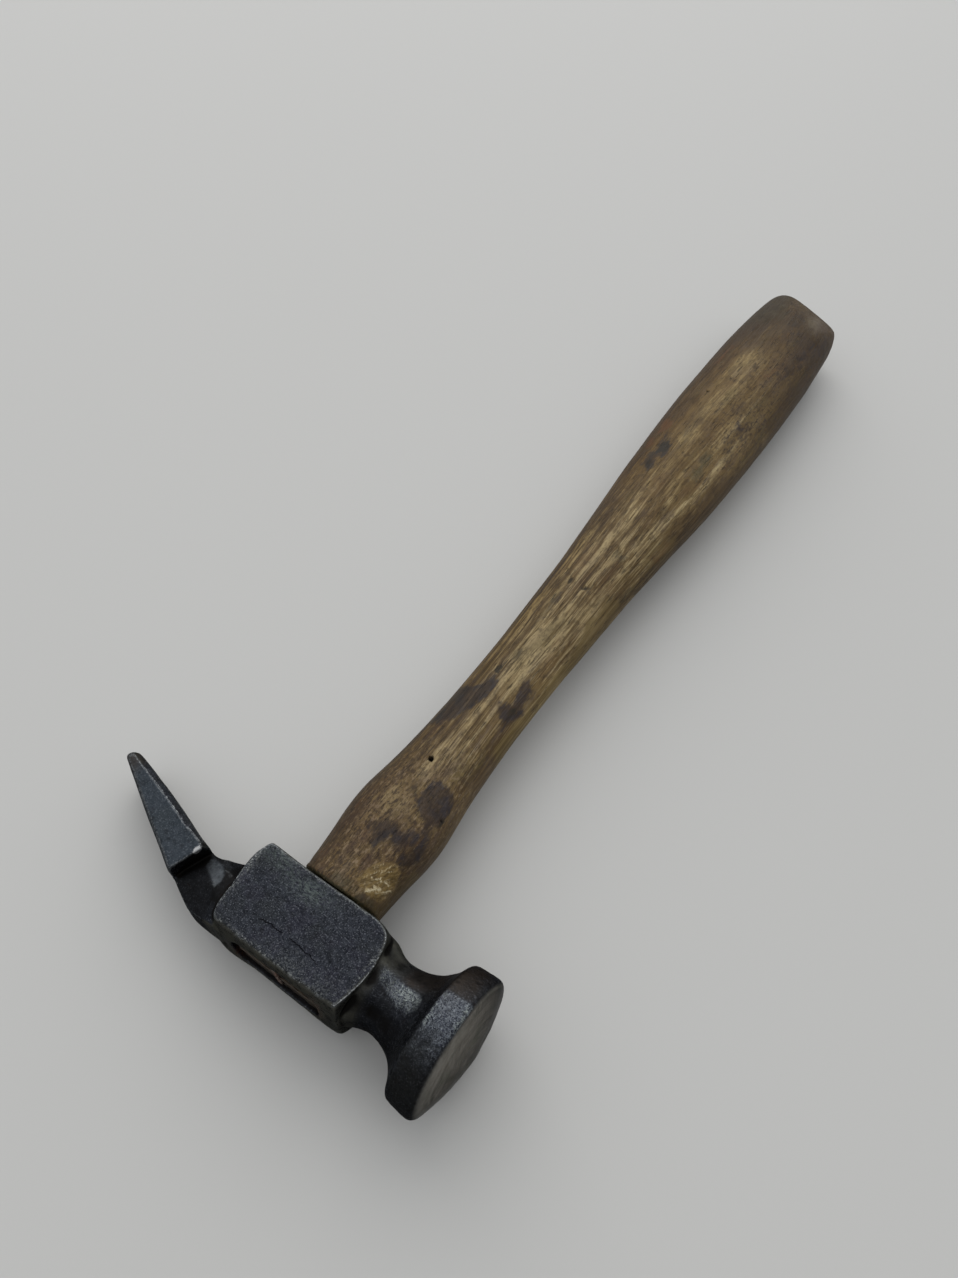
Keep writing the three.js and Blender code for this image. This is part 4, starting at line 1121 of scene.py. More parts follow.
def steel_material():
    m = Mat("forged_steel")
    mm = m.mm
    X_, Y_, Z_ = m.xyz(mm)
    edge, cav = m.attr("edge"), m.attr("cav")
    cheek, side, dome, wall_, worn = m.attr("cheek"), m.attr("side"), m.attr("dome"), m.attr("wall"), m.attr("worn")
    fine = m.noise(mm, 2.3, 3, 0.62)
    finer = m.noise(mm, 4.6, 2, 0.6)
    med = m.noise(mm, 0.75, 4, 0.6)
    big = m.noise(mm, 0.13, 3, 0.55)
    # blue-black scale over the ground surfaces
    base = m.mix(m.step(med, 0.35, 0.68), (0.0120, 0.0138, 0.0180), (0.0290, 0.0322, 0.0405))
    base = m.mix(m.mul(m.step(big, 0.42, 0.66), 0.7), base, (0.0185, 0.0208, 0.0230))
    violet = m.step(m.noise(m.scaled(mm, (1, 1, 1), (40, 3, 8)), 0.17, 3, 0.55), 0.48, 0.62)
    base = m.mix(m.mul(m.mul(violet, cheek), 0.38), base, (0.0225, 0.0215, 0.0330))
    # grains of bare metal through it
    grains = m.step(m.noise(m.scaled(mm, (1, 1, 1), (12, 9, 3)), 2.9, 2, 0.6), 0.55, 0.68)
    base = m.mix(m.mul(grains, 0.62), base, (0.134, 0.142, 0.160))
    dark_grains = m.step(m.noise(m.scaled(mm, (1, 1, 1), (31, 7, 5)), 2.6, 3, 0.6), 0.54, 0.68)
    base = m.mix(m.mul(dark_grains, 0.68), base, (0.0060, 0.0064, 0.0082))
    # faint tracery left in the scale by the hammer and the file
    trace = m.step(m.math("ABSOLUTE", m.sub(m.noise(m.scaled(mm, (1, 1, 1), (6, 60, 3)), 1.35, 2, 0.5, 1.3), 0.5)), 0.05, 0.012)
    base = m.mix(m.mul(m.mul(trace, m.sub(1.0, dome)), 0.14), base, (0.120, 0.128, 0.142))
    base = m.mix(m.mul(side, 0.42), base, (0.046, 0.058, 0.069))
    # gritty, brighter patches of the cheeks
    grit = m.mul(m.attr("gritty"), m.step(m.noise(mm, 2.1, 4, 0.75), 0.50, 0.64))
    base = m.mix(m.mul(grit, 0.52), base, (0.145, 0.155, 0.155))
    flakes = m.mul(m.attr("ends"), m.step(m.noise(m.scaled(mm, (1, 1, 1), (7, 1, 4)), 1.7, 4, 0.78), 0.51, 0.60))
    base = m.mix(m.mul(flakes, 0.72), base, (0.330, 0.345, 0.335))
    sc = m.mul(m.attr("scuff"), m.step(m.noise(m.scaled(mm, (1.0, 2.2, 1.0)), 1.1, 5, 0.78), 0.42, 0.64))
    base = m.mix(m.mul(sc, 0.75), base, (0.100, 0.121, 0.112))
    # polished face, warm grey
    rr = m.math("SQRT", m.add(m.mul(Y_, Y_), m.mul(Z_, Z_)))
    rings = m.noise(m.join(m.mul(rr, 3.0), m.mul(X_, 0.4), m.mul(m.math("ARCTAN2", Z_, Y_), 0.6)), 1.0, 3, 0.6)
    face = m.mix(m.step(rings, 0.3, 0.7), (0.200, 0.187, 0.166), (0.270, 0.255, 0.230))
    bu, bv = m.sub(m.mul(Y_, 0.77), m.mul(Z_, 0.64)), m.add(m.mul(Y_, 0.64), m.mul(Z_, 0.77))
    brush = m.noise(m.join(m.mul(bu, 1.9), m.mul(bv, 0.26), m.mul(X_, 0.5)), 1.0, 4, 0.7)
    face = m.mix(m.mul(m.step(brush, 0.52, 0.66), 0.62), face, (0.105, 0.098, 0.084))
    face = m.mix(m.mul(m.step(brush, 0.46, 0.34), 0.40), face, (0.330, 0.312, 0.285))
    face = m.mix(m.mul(m.step(m.noise(m.scaled(mm, (1, 1, 1), (5, 5, 5)), 0.30, 3, 0.6), 0.50, 0.66), 0.50), face, (0.150, 0.156, 0.126))
    face = m.mix(m.mul(m.step(m.noise(mm, 0.22, 4, 0.6), 0.45, 0.75), 0.5), face, (0.150, 0.133, 0.110))
    face = m.mix(m.mul(m.step(m.noise(mm, 1.5, 3, 0.6), 0.60, 0.74), 0.45), face, (0.080, 0.070, 0.060))
    face = m.mix(m.mul(m.mul(m.step(m.attr("rad"), 0.66, 0.95), m.step(Y_, 9.0, -4.0)), m.step(m.noise(mm, 0.6, 4, 0.7), 0.35, 0.65, 0.3, 0.8)), face, (0.330, 0.315, 0.285))
    face = m.mix(m.mul(m.step(Y_, 2.0, 14.0), 0.45), face, (0.090, 0.086, 0.078))
    soil = m.step(m.add(m.attr("rad"), m.mul(m.sub(m.noise(mm, 0.75, 5, 0.75), 0.5), 0.42)), 0.86, 0.98)
    face = m.mix(m.mul(m.mul(soil, m.step(Y_, -9.0, -1.0)), 0.45), face, (0.095, 0.093, 0.086))
    base = m.mix(dome, base, face)
    # rough worn tops of the bell and of the neck flat
    fleck = m.noise(m.scaled(mm, (1, 1, 1), (9, 4, 2)), 2.7, 4, 0.72)
    tintb = m.mix(wall_, (0.215, 0.240, 0.220), (0.135, 0.150, 0.172))
    # painted highlight on the upper bell wall and the neck flat
    highlight_m = m.mul(m.attr("painted_highlight"), m.step(m.noise(m.scaled(mm, (1, 1, 1), (4, 8, 15)), 0.85, 4, 0.75), 0.42, 0.58))
    tintb = m.mix(highlight_m, tintb, (0.330, 0.370, 0.355))
    squig = m.step(m.math("ABSOLUTE", m.sub(m.noise(m.scaled(mm, (1, 1, 1), (2, 30, 11)), 1.3, 3, 0.6, 1.6), 0.5)), 0.055, 0.012)
    bare = m.mix(m.step(fleck, 0.50, 0.66), m.mix(m.step(fine, 0.4, 0.6), (0.0110, 0.0125, 0.0190), (0.038, 0.042, 0.056)), tintb)
    lit = m.step(m.add(worn, m.mul(m.sub(m.noise(mm, 0.62, 5, 0.80), 0.5), 1.7)), 0.30, 0.80)
    bare = m.mix(m.mul(squig, m.add(0.55, m.mul(highlight_m, 0.30))), bare, m.mix(highlight_m, (0.250, 0.275, 0.300), (0.430, 0.475, 0.455)))
    base = m.mix(m.mul(lit, 0.90), base, bare)
    # painted highlight: the lit strip on the peen neck, in a paler grey-blue
    base = m.mix(m.mul(m.attr("lit_strip"), m.step(m.noise(mm, 0.9, 4, 0.7), 0.3, 0.6, 0.45, 0.95)), base, (0.082, 0.091, 0.100))
    # brown tint, olive tint with painted fill light, black grease with painted shade, and grease with painted shade in
    # hollows
    base = m.mix(m.mul(m.attr("brown"), m.step(m.noise(mm, 0.35, 4, 0.6), 0.25, 0.7, 0.55, 0.95)), base, (0.044, 0.0355, 0.0290))
    # olive tint with painted fill light on walls turned away from the light
    base = m.mix(m.mul(m.attr("olive_fill"), m.step(m.noise(mm, 0.4, 4, 0.6), 0.3, 0.7, 0.55, 0.95)), base, (0.098, 0.0960, 0.0800))
    # black grease with painted shade on the sides facing -y and in hollows
    black_shade_m = m.mul(m.attr("black_shade"), m.step(m.noise(mm, 0.5, 4, 0.6), 0.2, 0.6, 0.70, 1.0))
    base = m.mix(black_shade_m, base, (0.0105, 0.0102, 0.0100))
    # grease and painted shade: darker where the surface is hollow
    hollow_shade = m.step(m.add(cav, m.mul(m.sub(med, 0.5), 0.5)), 0.22, 0.75)
    base = m.mix(m.mul(hollow_shade, 0.85), base, (0.0080, 0.0074, 0.0066))
    base = m.mix(m.mul(m.attr("pit"), m.mul(m.sub(1.0, dome), 0.55)), base, (0.0085, 0.0088, 0.0100))
    # the eye's wall and the rust at its end
    base = m.mix(m.mul(m.attr("ineye"), 0.8), base, (0.010, 0.0075, 0.006))
    rustm = m.mul(m.attr("rust"), m.step(m.noise(mm, 1.4, 4, 0.7), 0.35, 0.6))
    base = m.mix(rustm, base, m.mix(fine, (0.035, 0.014, 0.008), (0.115, 0.048, 0.022)))
    rust2 = m.mul(m.step(m.noise(m.scaled(mm, (1, 1, 1), (3, 50, 9)), 0.55, 5, 0.72), 0.62, 0.76), m.sub(1.0, cheek))
    base = m.mix(m.mul(rust2, 0.40), base, (0.034, 0.018, 0.012))
    # thinner scale along the edges
    e = m.step(m.add(edge, m.mul(m.sub(m.noise(mm, 1.5, 5, 0.75), 0.5), 1.9)), 0.66, 1.15)
    e = m.mul(e, m.sub(1.0, m.mul(m.attr("black_shade"), 0.75)))
    base = m.mix(m.mul(e, 0.55), base, m.mix(m.step(finer, 0.40, 0.62), (0.070, 0.077, 0.082), (0.230, 0.242, 0.248)))
    # edge wear with painted highlight: thin bright lines along the cheek and peen edges
    cr = m.step(m.add(m.attr("worn_edge_glint"), m.mul(m.sub(m.noise(mm, 1.7, 4, 0.75), 0.5), 1.7)), 0.42, 0.74)
    base = m.mix(m.mul(cr, 0.90), base, (0.460, 0.480, 0.490))
    ch = m.step(m.add(m.attr("chip"), m.mul(m.sub(fine, 0.5), 0.7)), 0.35, 0.65)
    base = m.mix(ch, base, (0.36, 0.365, 0.37))
    # hairline cracks of the upper cheek
    wob = m.mul(m.sub(m.noise(m.scaled(mm, (0.55, 0.05, 0.05)), 1.0, 4, 0.6), 0.5), 1.6)
    line1 = m.math("ABSOLUTE", m.sub(m.add(Y_, 4.15), m.add(m.mul(m.add(X_, 4.8), 0.09), wob)))
    mask1 = m.mul(m.step(X_, -8.3, -7.0), m.step(X_, -1.0, -2.4))
    line2 = m.math("ABSOLUTE", m.sub(m.add(Y_, 4.3), m.add(m.mul(m.sub(X_, 4.0), -0.10), wob)))
    mask2 = m.mul(m.step(X_, -0.4, 0.9), m.step(X_, 10.6, 6.5))
    up = m.mul(m.step(Z_, 8.6, 9.0), cheek)
    crack = m.math("MAXIMUM", m.mul(m.step(line1, 0.16, 0.05), mask1), m.mul(m.step(line2, 0.16, 0.05), mask2))
    crack = m.mul(m.mul(crack, up), m.step(m.noise(mm, 0.9, 2, 0.5), 0.30, 0.45))
    base = m.mix(m.mul(crack, 0.9), base, (0.004, 0.004, 0.005))
    m.put(base, m.bsdf.inputs["Base Color"])
    metal = m.math("MULTIPLY_ADD", m.math("MAXIMUM", black_shade_m, m.mul(hollow_shade, 0.8)), -0.10, 0.97, clamp=True)
    metal = m.sub(metal, m.mul(rustm, 0.6), clamp=True)
    m.put(metal, m.bsdf.inputs["Metallic"])
    ro = m.step(fine, 0.3, 0.7, 0.40, 0.56)
    ro = m.lerp(dome, ro, m.step(rings, 0.3, 0.7, 0.30, 0.42))
    ro = m.lerp(m.math("MAXIMUM", black_shade_m, hollow_shade), ro, 0.55)
    ro = m.lerp(m.mul(lit, 0.7), ro, 0.38)
    ro = m.lerp(m.mul(e, 0.7), ro, 0.36)
    ro = m.lerp(m.math("MAXIMUM", rustm, m.mul(rust2, 0.6)), ro, 0.85)
    m.put(ro, m.bsdf.inputs["Roughness"])
    h = m.add(m.mul(fine, 0.6), m.mul(finer, 0.4))
    h = m.sub(h, m.mul(crack, 1.6))
    amp = m.add(m.lerp(dome, 0.75, 0.06), m.mul(lit, 0.9))
    b = m.bump(m.mul(h, amp), 0.085)
    b = m.bump(med, 0.10, 0.6, b)
    m.put(b, m.bsdf.inputs["Normal"])
    m.bsdf.inputs["Specular IOR Level"].default_value = 0.3
    m.bsdf.inputs["Specular Tint"].default_value = (0.25, 0.26, 0.28, 1.0)
    return m.mat


def wood_material():
    m = Mat("haft_wood_worn")
    mm = m.mm
    X_, Y_, Z_ = m.xyz(mm)
    # grain runs along Y, drifting slowly
    drift = m.noise(m.scaled(mm, (0.05, 0.010, 0.05)), 1.0, 2, 0.5, color=True)
    dn = m.t.nodes.new("ShaderNodeVectorMath")
    dn.operation = "MULTIPLY_ADD"
    m.link(drift, dn.inputs[0])
    dn.inputs[1].default_value = (6.0, 0.0, 6.0)
    m.link(mm, dn.inputs[2])
    g = dn.outputs[0]
    wide_ = m.noise(m.scaled(g, (0.24, 0.006, 0.24), (3, 1, 7)), 1.0, 3, 0.55)
    streak = m.noise(m.scaled(g, (0.62, 0.011, 0.62)), 1.0, 3, 0.6)
    streak2 = m.noise(m.scaled(g, (1.45, 0.024, 1.45), (8, 2, 5)), 1.0, 3, 0.6)
    fine = m.noise(m.scaled(g, (3.4, 0.075, 3.4), (9, 3, 1)), 1.0, 3, 0.6)
    dash = m.noise(m.scaled(g, (1.9, 0.21, 1.9), (2, 8, 4)), 1.0, 3, 0.6)
    big = m.noise(m.scaled(g, (0.10, 0.030, 0.10), (5, 5, 5)), 1.0, 4, 0.6)
    blot = m.noise(m.scaled(g, (0.30, 0.16, 0.30), (1, 9, 3)), 1.0, 5, 0.65)
    mott = m.noise(m.scaled(g, (0.9, 0.40, 0.9), (4, 2, 8)), 1.0, 4, 0.65)
    grime = m.noise(m.scaled(g, (1.9, 1.3, 1.9), (6, 6, 2)), 1.0, 3, 0.6)
    sk = m.attr("streaky")
    t1 = m.add(m.mul(m.sub(streak, 0.5), 1.9), m.mul(m.sub(streak2, 0.5), 1.7))
    t1 = m.mul(m.add(t1, m.mul(m.sub(fine, 0.5), 0.7)), sk)
    t1 = m.add(t1, m.mul(m.sub(wide_, 0.5), 0.8))
    t1 = m.add(t1, m.add(m.mul(m.sub(big, 0.5), 0.7), 0.51))
    fibre = m.noise(m.scaled(g, (4.2, 0.16, 4.2), (7, 1, 9)), 1.0, 2, 0.6)
    t1 = m.add(t1, m.mul(m.sub(fibre, 0.5), m.add(0.30, m.mul(sk, 0.45))))
    # painted shade: darker towards both flanks of the haft
    rim = m.attr("rim")
    t1 = m.sub(t1, m.mul(rim, 0.30))
    t1 = m.add(t1, m.mul(m.attr("pale"), 0.34))
    t1 = m.add(t1, m.attr("tone"))
    t1 = m.sub(t1, m.mul(m.attr("headdark"), 0.13))
    t1 = m.add(t1, m.mul(m.attr("midband"), 0.10))
    base = m.mix(m.step(t1, -0.05, 0.50), (0.052, 0.0300, 0.0110), (0.124, 0.0795, 0.0300))
    base = m.mix(m.step(t1, 0.41, 0.98), base, (0.345, 0.2620, 0.1330))
    # reddish and olive drifts of tone
    hue = m.noise(m.scaled(g, (0.22, 0.05, 0.22), (21, 4, 9)), 1.0, 3, 0.6)
    base = m.mix(m.mul(m.step(hue, 0.54, 0.72), 0.45), base, (0.105, 0.056, 0.024))
    base = m.mix(m.mul(m.step(hue, 0.46, 0.30), 0.35), base, (0.092, 0.072, 0.026))
    # dirt worked into the surface, brown to grey
    base = m.mix(m.mul(m.step(blot, 0.48, 0.68), 0.42), base, (0.062, 0.039, 0.020))
    base = m.mix(m.mul(m.step(mott, 0.50, 0.68), 0.45), base, (0.038, 0.024, 0.0125))
    base = m.mix(m.mul(m.step(grime, 0.56, 0.70), 0.35), base, (0.028, 0.0185, 0.010))
    base = m.mix(m.mul(m.step(m.noise(m.scaled(g, (0.5, 0.2, 0.5), (11, 4, 2)), 1.0, 4, 0.6), 0.57, 0.75), 0.25), base, (0.150, 0.114, 0.074))
    # pale specks and light threads of lifted fibre
    thread = m.step(m.noise(m.scaled(g, (2.4, 0.035, 2.4), (14, 6, 3)), 1.0, 2, 0.5), 0.60, 0.72)
    base = m.mix(m.mul(m.mul(thread, sk), 0.42), base, (0.370, 0.292, 0.170))
    # ochre rubbed sides, orange and red-brown patches
    brk = m.add(m.mul(m.sub(blot, 0.5), 0.7), m.add(m.mul(m.sub(streak2, 0.5), 0.8), m.mul(m.sub(mott, 0.5), 0.8)))
    brk = m.add(brk, m.mul(m.sub(fibre, 0.5), 0.45))
    # mauve-brown drifts, and thin dark seams of the grain
    mauve = m.step(m.noise(m.scaled(g, (0.42, 0.10, 0.42), (31, 3, 12)), 1.0, 4, 0.65), 0.50, 0.66)
    base = m.mix(m.mul(mauve, m.sub(0.38, m.mul(m.attr("midband"), 0.20))), base, (0.086, 0.060, 0.044))
    seam = m.mul(m.step(m.noise(m.scaled(g, (1.7, 0.022, 1.7), (17, 5, 23)), 1.0, 3, 0.6), 0.58, 0.66), sk)
    base = m.mix(m.mul(seam, 0.50), base, (0.040, 0.0250, 0.0110))
    # rough, scuffed wood next to the head
    near_ = m.attr("nearh")
    rgh = m.noise(m.scaled(mm, (1.35, 0.62, 1.35), (3, 8, 1)), 1.0, 4, 0.70)
    base = m.mix(m.mul(m.mul(near_, m.step(rgh, 0.49, 0.40)), 0.80), base, (0.034, 0.0208, 0.0132))
    base = m.mix(m.mul(m.mul(near_, m.step(rgh, 0.545, 0.62)), 0.60), base, (0.245, 0.1770, 0.1120))
    furrow = m.step(m.noise(m.scaled(m.turned(mm, -8), (3.0, 0.30, 1.6), (2, 9, 4)), 1.0, 3, 0.65), 0.60, 0.68)
    base = m.mix(m.mul(m.mul(near_, furrow), 0.62), base, (0.024, 0.0145, 0.0090))
    nred = m.step(m.noise(m.scaled(mm, (0.30, 0.18, 0.30), (9, 1, 6)), 1.0, 4, 0.65), 0.46, 0.62)
    base = m.mix(m.mul(m.mul(m.attr("headdark"), nred), 0.55), base, (0.066, 0.0370, 0.0230))
    bd = m.step(m.add(m.attr("brownd"), m.mul(brk, 0.8)), 0.12, 0.95)
    base = m.mix(m.mul(bd, 0.72), base, m.mix(m.step(streak2, 0.35, 0.65), (0.033, 0.0190, 0.0085), (0.074, 0.0440, 0.0180)))
    och = m.step(m.add(m.attr("ochre"), m.mul(brk, 0.7)), 0.20, 0.85)
    base = m.mix(m.mul(och, 0.70), base, m.mix(m.step(t1, -0.2, 0.7), (0.066, 0.0420, 0.0110), (0.150, 0.1030, 0.0380)))
    rd = m.step(m.add(m.attr("reddish"), m.mul(brk, 0.7)), 0.25, 0.85)
    base = m.mix(m.mul(rd, 0.75), base, m.mix(mott, (0.085, 0.0340, 0.0120), (0.150, 0.0780, 0.0340)))
    # dark speckle rubbed into the grip
    spk = m.noise(m.scaled(mm, (1.25, 0.80, 1.25), (19, 2, 13)), 1.0, 4, 0.72)
    base = m.mix(m.mul(m.mul(m.attr("speck"), m.step(spk, 0.50, 0.62)), 0.55), base, (0.048, 0.0315, 0.0220))
    base = m.mix(m.mul(m.mul(m.attr("speck"), m.step(spk, 0.42, 0.32)), 0.22), base, (0.190, 0.1430, 0.0880))
    # open pores
    pm = m.mul(m.step(dash, 0.57, 0.67), m.step(fine, 0.40, 0.52))
    base = m.mix(m.mul(pm, 0.66), base, (0.020, 0.012, 0.006))
    # stains, broken up along the grain
    pu = m.step(m.add(m.attr("stain"), m.mul(brk, 1.25)), 0.22, 0.80)
    blue = m.step(m.noise(m.scaled(mm, (0.30, 0.22, 0.30), (2, 7, 5)), 1.0, 3, 0.6), 0.42, 0.62)
    soaked = m.mix(1.0, base, m.mix(blue, (0.36, 0.30, 0.30), (0.27, 0.27, 0.42)), "MULTIPLY")
    crust = m.mix(m.step(m.add(fibre, m.mul(m.sub(mott, 0.5), 0.8)), 0.36, 0.70),
                  m.mix(blue, (0.0180, 0.0120, 0.0085), (0.0140, 0.0125, 0.0165)), m.mix(blue, (0.0420, 0.0290, 0.0205), (0.0340, 0.0295, 0.0330)))
    base = m.mix(m.mul(pu, 0.95), base, m.mix(0.55, soaked, crust))
    gr = m.step(m.add(m.attr("green"), m.mul(brk, 0.8)), 0.25, 0.85)
    base = m.mix(m.mul(gr, 0.62), base, m.mix(m.step(mott, 0.4, 0.65), (0.026, 0.0245, 0.0120), (0.068, 0.0600, 0.0370)))
    bk = m.step(m.add(m.attr("blk"), m.mul(brk, 0.8)), 0.35, 0.80)
    base = m.mix(m.mul(bk, 0.80), base, (0.0140, 0.0120, 0.0070))
    fd = m.step(m.add(m.attr("faded"), m.mul(brk, 0.9)), 0.20, 1.05)
    base = m.mix(m.mul(fd, 0.55), base, (0.170, 0.142, 0.110))
    bt = m.mul(m.attr("buttm"), m.step(m.noise(m.scaled(mm, (0.24, 0.12, 0.24), (7, 70, 3)), 1.0, 4, 0.6), 0.40, 0.62))
    base = m.mix(m.mul(bt, 0.46), base, (0.070, 0.0480, 0.0330))
    # thin dark line of grease at the joint, ragged towards the wood
    nd = m.step(m.add(m.attr("neckdirt"), m.mul(m.sub(mott, 0.5), 1.2)), 0.40, 0.90)
    base = m.mix(m.mul(nd, 0.70), base, (0.0260, 0.0270, 0.0130))
    # scratched, polished patch near the head
    gl = m.step(m.add(m.attr("gloss"), m.mul(m.sub(m.noise(m.scaled(mm, (1.0, 0.6, 1.0)), 1.0, 4, 0.7), 0.5), 0.9)), 0.35, 0.85)
    sc1 = m.noise(m.scaled(m.turned(mm, 30), (4.6, 0.42, 1.0), (1, 6, 2)), 1.0, 2, 0.6, 0.5)
    sc2 = m.noise(m.scaled(m.turned(mm, 62), (4.2, 0.42, 1.0), (5, 2, 2)), 1.0, 2, 0.6, 0.5)
    strokes = m.math("MAXIMUM", m.step(sc1, 0.58, 0.70), m.mul(m.step(sc2, 0.60, 0.72), 0.85))
    glc = m.noise(m.scaled(m.turned(mm, 24), (1.3, 0.45, 1.0), (8, 1, 2)), 1.0, 4, 0.7)
    base = m.mix(m.mul(gl, 0.70), base, m.mix(m.step(glc, 0.38, 0.64), (0.078, 0.0470, 0.0140), (0.225, 0.1480, 0.0500)))
    base = m.mix(m.mul(m.mul(gl, strokes), 0.45), base, (0.40, 0.310, 0.170))
    hit = m.step(m.add(m.attr("stroke"), m.mul(m.sub(m.noise(m.scaled(mm, (1.6, 1.0, 1.6), (3, 3, 3)), 1.0, 3, 0.6), 0.5), 0.9)), 0.22, 0.85)
    base = m.mix(m.mul(hit, 0.66), base, m.mix(m.step(sc1, 0.40, 0.62), (0.34, 0.25, 0.115), (0.66, 0.57, 0.38)))
    scuffs = m.mul(m.attr("headdark"), m.mul(m.step(sc1, 0.62, 0.72), 0.25))
    base = m.mix(scuffs, base, (0.28, 0.205, 0.105))
    base = m.mix(m.attr("hole"), base, (0.004, 0.003, 0.002))
    # end grain
    ringc = m.math("SQRT", m.add(m.math("POWER", m.sub(X_, 24.0), 2.0), m.math("POWER", m.add(Z_, 14.0), 2.0)))
    er = m.math("SINE", m.add(m.mul(ringc, 3.4), m.mul(m.noise(mm, 0.16, 4, 0.6), 15.0)))
    eg = m.mix(m.step(er, 0.35, 0.95), (0.098, 0.070, 0.044), (0.052, 0.036, 0.022))
    eg = m.mix(m.mul(m.step(m.noise(mm, 0.7, 4, 0.6), 0.42, 0.62), 0.5), eg, (0.120, 0.088, 0.056))
    eg = m.mix(m.mul(m.step(m.noise(mm, 3.4, 3, 0.6), 0.50, 0.66), 0.7), eg, (0.022, 0.015, 0.010))
    eg = m.mix(m.mul(m.step(m.noise(mm, 0.22, 4, 0.65), 0.38, 0.62), 0.72), eg, (0.038, 0.029, 0.021))
    base = m.mix(m.attr("endg"), base, eg)
    # flanks: painted shade darkens and warms the left one, painted light makes the right one paler; a warmer tint
    # further on, strongest on the left
    base = m.mix(m.attr("left_flank_shade"), base, (0.66, 0.59, 0.42), "MULTIPLY")
    base = m.mix(m.attr("right_flank_light"), base, (1.58, 1.66, 1.78), "MULTIPLY")
    base = m.mix(m.attr("warm"), base, (1.04, 0.93, 0.58), "MULTIPLY")
    base = m.mix(m.attr("buttd"), base, (0.79, 0.77, 0.68), "MULTIPLY")
    # painted shade: the tongue inside the eye darkened
    base = m.mix(m.attr("tongue"), base, (0.30, 0.28, 0.25), "MULTIPLY")
    m.put(base, m.bsdf.inputs["Base Color"])
    ro = m.step(fine, 0.3, 0.7, 0.66, 0.52)
    ro = m.add(ro, m.mul(m.step(blot, 0.4, 0.7), 0.08))
    ro = m.lerp(m.mul(rim, 0.5), ro, 0.55)
    ro = m.lerp(m.mul(pu, 0.6), ro, 0.50)
    ro = m.lerp(gl, ro, 0.34)
    ro = m.lerp(m.attr("endg"), ro, 0.85)
    m.put(ro, m.bsdf.inputs["Roughness"])
    h = m.add(m.mul(fine, 0.35), m.add(m.mul(streak2, 0.55), m.mul(streak, 0.30)))
    h = m.sub(h, m.mul(pm, 0.55))
    h = m.add(h, m.mul(m.math("MAXIMUM", m.mul(gl, strokes), hit), 0.30))
    b = m.bump(h, 0.20, 0.85)
    b = m.bump(m.add(mott, m.mul(grime, 0.6)), 0.16, 0.6, b)
    m.put(b, m.bsdf.inputs["Normal"])
    m.bsdf.inputs["Specular IOR Level"].default_value = 0.22
    return m.mat


def wedge_wood_material():
    m = Mat("wedge_wood_dry")
    mm = m.mm
    g = m.scaled(mm, (2.2, 0.12, 2.2))
    a = m.noise(g, 1.0, 4, 0.6)
    b_ = m.noise(m.scaled(mm, (0.4, 0.3, 0.6), (4, 4, 4)), 1.0, 4, 0.6)
    base = m.mix(m.step(a, 0.32, 0.68), (0.115, 0.074, 0.040), (0.300, 0.220, 0.130))
    base = m.mix(m.mul(m.step(b_, 0.45, 0.7), 0.6), base, (0.060, 0.044, 0.030))
    X_, Y_, Z_ = m.xyz(mm)
    lines = m.math("SINE", m.add(m.mul(X_, 3.6), m.mul(b_, 16.0)))
    eg = m.mix(m.step(lines, 0.3, 0.95), (0.165, 0.118, 0.070), (0.085, 0.058, 0.034))
    eg = m.mix(m.mul(m.step(m.noise(mm, 0.5, 4, 0.6), 0.42, 0.65), 0.6), eg, (0.060, 0.043, 0.028))
    eg = m.mix(m.mul(m.step(m.noise(mm, 3.0, 3, 0.6), 0.5, 0.7), 0.7), eg, (0.035, 0.024, 0.016))
    base = m.mix(m.attr("endg"), base, eg)
    base = m.mix(m.attr("endg"), base, (0.36, 0.35, 0.34), "MULTIPLY")
    m.put(base, m.bsdf.inputs["Base Color"])
    m.put(m.step(a, 0.3, 0.7, 0.82, 0.66), m.bsdf.inputs["Roughness"])
    m.put(m.bump(a, 0.14, 0.8), m.bsdf.inputs["Normal"])
    m.bsdf.inputs["Specular IOR Level"].default_value = 0.3
    return m.mat


def rusty_material():
    m = Mat("wedge_steel_rusty")
    mm = m.mm
    n1, n2 = m.noise(mm, 2.4, 4, 0.65), m.noise(mm, 0.7, 4, 0.6)
    base = m.mix(m.step(n1, 0.35, 0.68), (0.030, 0.013, 0.008), (0.145, 0.060, 0.028))
    base = m.mix(m.mul(m.step(n2, 0.42, 0.68), 0.7), base, (0.028, 0.022, 0.020))
    shine = m.mul(m.attr("struck"), m.step(m.noise(mm, 1.5, 4, 0.7), 0.52, 0.66))
    base = m.mix(shine, base, (0.26, 0.25, 0.24))
    m.put(base, m.bsdf.inputs["Base Color"])
    m.put(m.math("MULTIPLY_ADD", shine, 0.55, 0.35, clamp=True), m.bsdf.inputs["Metallic"])
    m.put(m.lerp(shine, m.step(n1, 0.3, 0.7, 0.86, 0.68), 0.38), m.bsdf.inputs["Roughness"])
    m.put(m.bump(n1, 0.12, 0.9), m.bsdf.inputs["Normal"])
    return m.mat


steel, wood = steel_material(), wood_material()
for ob, mat in ((head, steel), (haft, wood), (wedge_raw, wedge_wood_material()), (cross, rusty_material())):
    ob.data.materials.clear()
    ob.data.materials.append(mat)

for ob, node, slot_ in ((head, "hammer_head", "head_steel"), (haft, "haft", "haft_wood"),
                        (wedge_raw, "eye_wedge_wood", "wedge_wood"), (cross, "cross_wedge_steel", "wedge_steel")):
    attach(ob, "root")
    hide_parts(node)

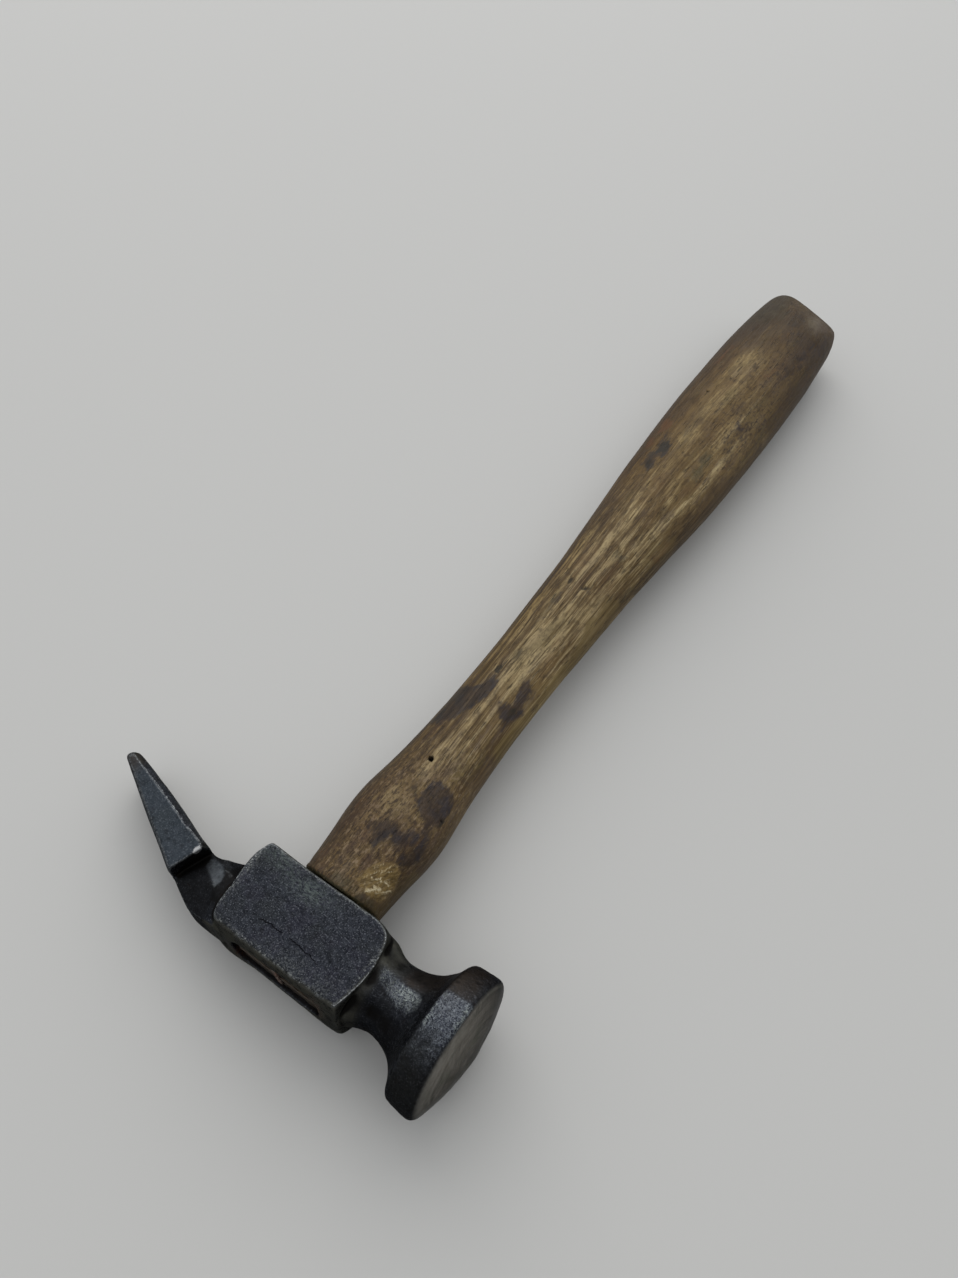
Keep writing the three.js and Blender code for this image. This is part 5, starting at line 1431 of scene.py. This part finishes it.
# ------------------------------------------------------------------ floor, light, camera
fm = bpy.data.materials.new("pale_floor")
fm.use_nodes = True
fb = fm.node_tree.nodes["Principled BSDF"]
fb.inputs["Base Color"].default_value = (0.56, 0.558, 0.545, 1)
fb.inputs["Roughness"].default_value = 0.55
fb.inputs["Specular IOR Level"].default_value = 0.25
S = 3.0
floor = add_object("floor", new_mesh("floor", np.array([(-S, -S, 0), (S, -S, 0), (S, S, 0), (-S, S, 0)]), np.array([[0, 1, 2, 3]]), smooth=False))
floor.data.materials.append(fm)


def direction(v):
    v = Vector([float(a) for a in ROW_R @ np.array(v, float)])
    return v.normalized()


TARGET = Vector((0.0, -0.03, 0.01))
key_dir = direction((-0.42, 0.58, 0.70))
ld = bpy.data.lights.new("softbox", "AREA")
ld.shape, ld.size, ld.size_y = "RECTANGLE", 3.9, 3.9
ld.energy = 60.0
ld.color = (1.0, 0.985, 0.965)
key = bpy.data.objects.new("softbox", ld)
bpy.context.scene.collection.objects.link(key)
key.location = TARGET + key_dir * 3.4
key.rotation_euler = (-key_dir).to_track_quat("-Z", "Y").to_euler()

world = bpy.data.worlds.new("studio")
bpy.context.scene.world = world
world.use_nodes = True
wt = world.node_tree
bg = wt.nodes["Background"]
wtc = wt.nodes.new("ShaderNodeTexCoord")
dot = wt.nodes.new("ShaderNodeVectorMath")
dot.operation = "DOT_PRODUCT"
wt.links.new(wtc.outputs["Generated"], dot.inputs[0])
dot.inputs[1].default_value = tuple(direction((-0.28, 0.38, 0.88)))
mr = wt.nodes.new("ShaderNodeMapRange")
mr.interpolation_type = "SMOOTHSTEP"
wt.links.new(dot.outputs["Value"], mr.inputs[0])
mr.inputs[1].default_value, mr.inputs[2].default_value = -0.15, 0.75
mr.inputs[3].default_value, mr.inputs[4].default_value = 0.18, 0.85
top = wt.nodes.new("ShaderNodeMapRange")
top.interpolation_type = "SMOOTHSTEP"
wt.links.new(dot.outputs["Value"], top.inputs[0])
top.inputs[1].default_value, top.inputs[2].default_value = 0.70, 0.98
top.inputs[3].default_value, top.inputs[4].default_value = 1.0, 0.90
both = wt.nodes.new("ShaderNodeMath")
both.operation = "MULTIPLY"
wt.links.new(mr.outputs[0], both.inputs[0])
wt.links.new(top.outputs[0], both.inputs[1])
wt.links.new(both.outputs[0], bg.inputs["Strength"])
bg.inputs["Color"].default_value = (0.97, 0.985, 1.0, 1)

CAM_AXES = np.array([[0.8184914, 0.5743813, -0.0125632], [0.4641583, -0.6739944, -0.5747075], [-0.3385688, 0.4645618, -0.8182625]])
CAM_POS = np.array([72.8803234, -35.4802704, 211.6837128])
right, down, fwd = (ROW_R @ CAM_AXES.T).T
cam_data = bpy.data.cameras.new("camera")
cam_data.sensor_fit = "AUTO"
cam_data.sensor_width = 36.0
cam_data.lens = 36.0 * 1000.0 / 1278.0
cam_data.clip_start, cam_data.clip_end = 0.01, 20.0
cam = bpy.data.objects.new("camera", cam_data)
bpy.context.scene.collection.objects.link(cam)
rot = Matrix([[right[i], -down[i], -fwd[i]] for i in range(3)]).to_4x4()
rot.translation = Vector([float(a) for a in to_row(CAM_POS)])
cam.matrix_world = rot
bpy.context.scene.camera = cam

vs = bpy.context.scene.view_settings
vs.view_transform = "Standard"
vs.look = "None"
vs.exposure = 0.0
vs.gamma = 1.0

bpy.context.view_layer.update()
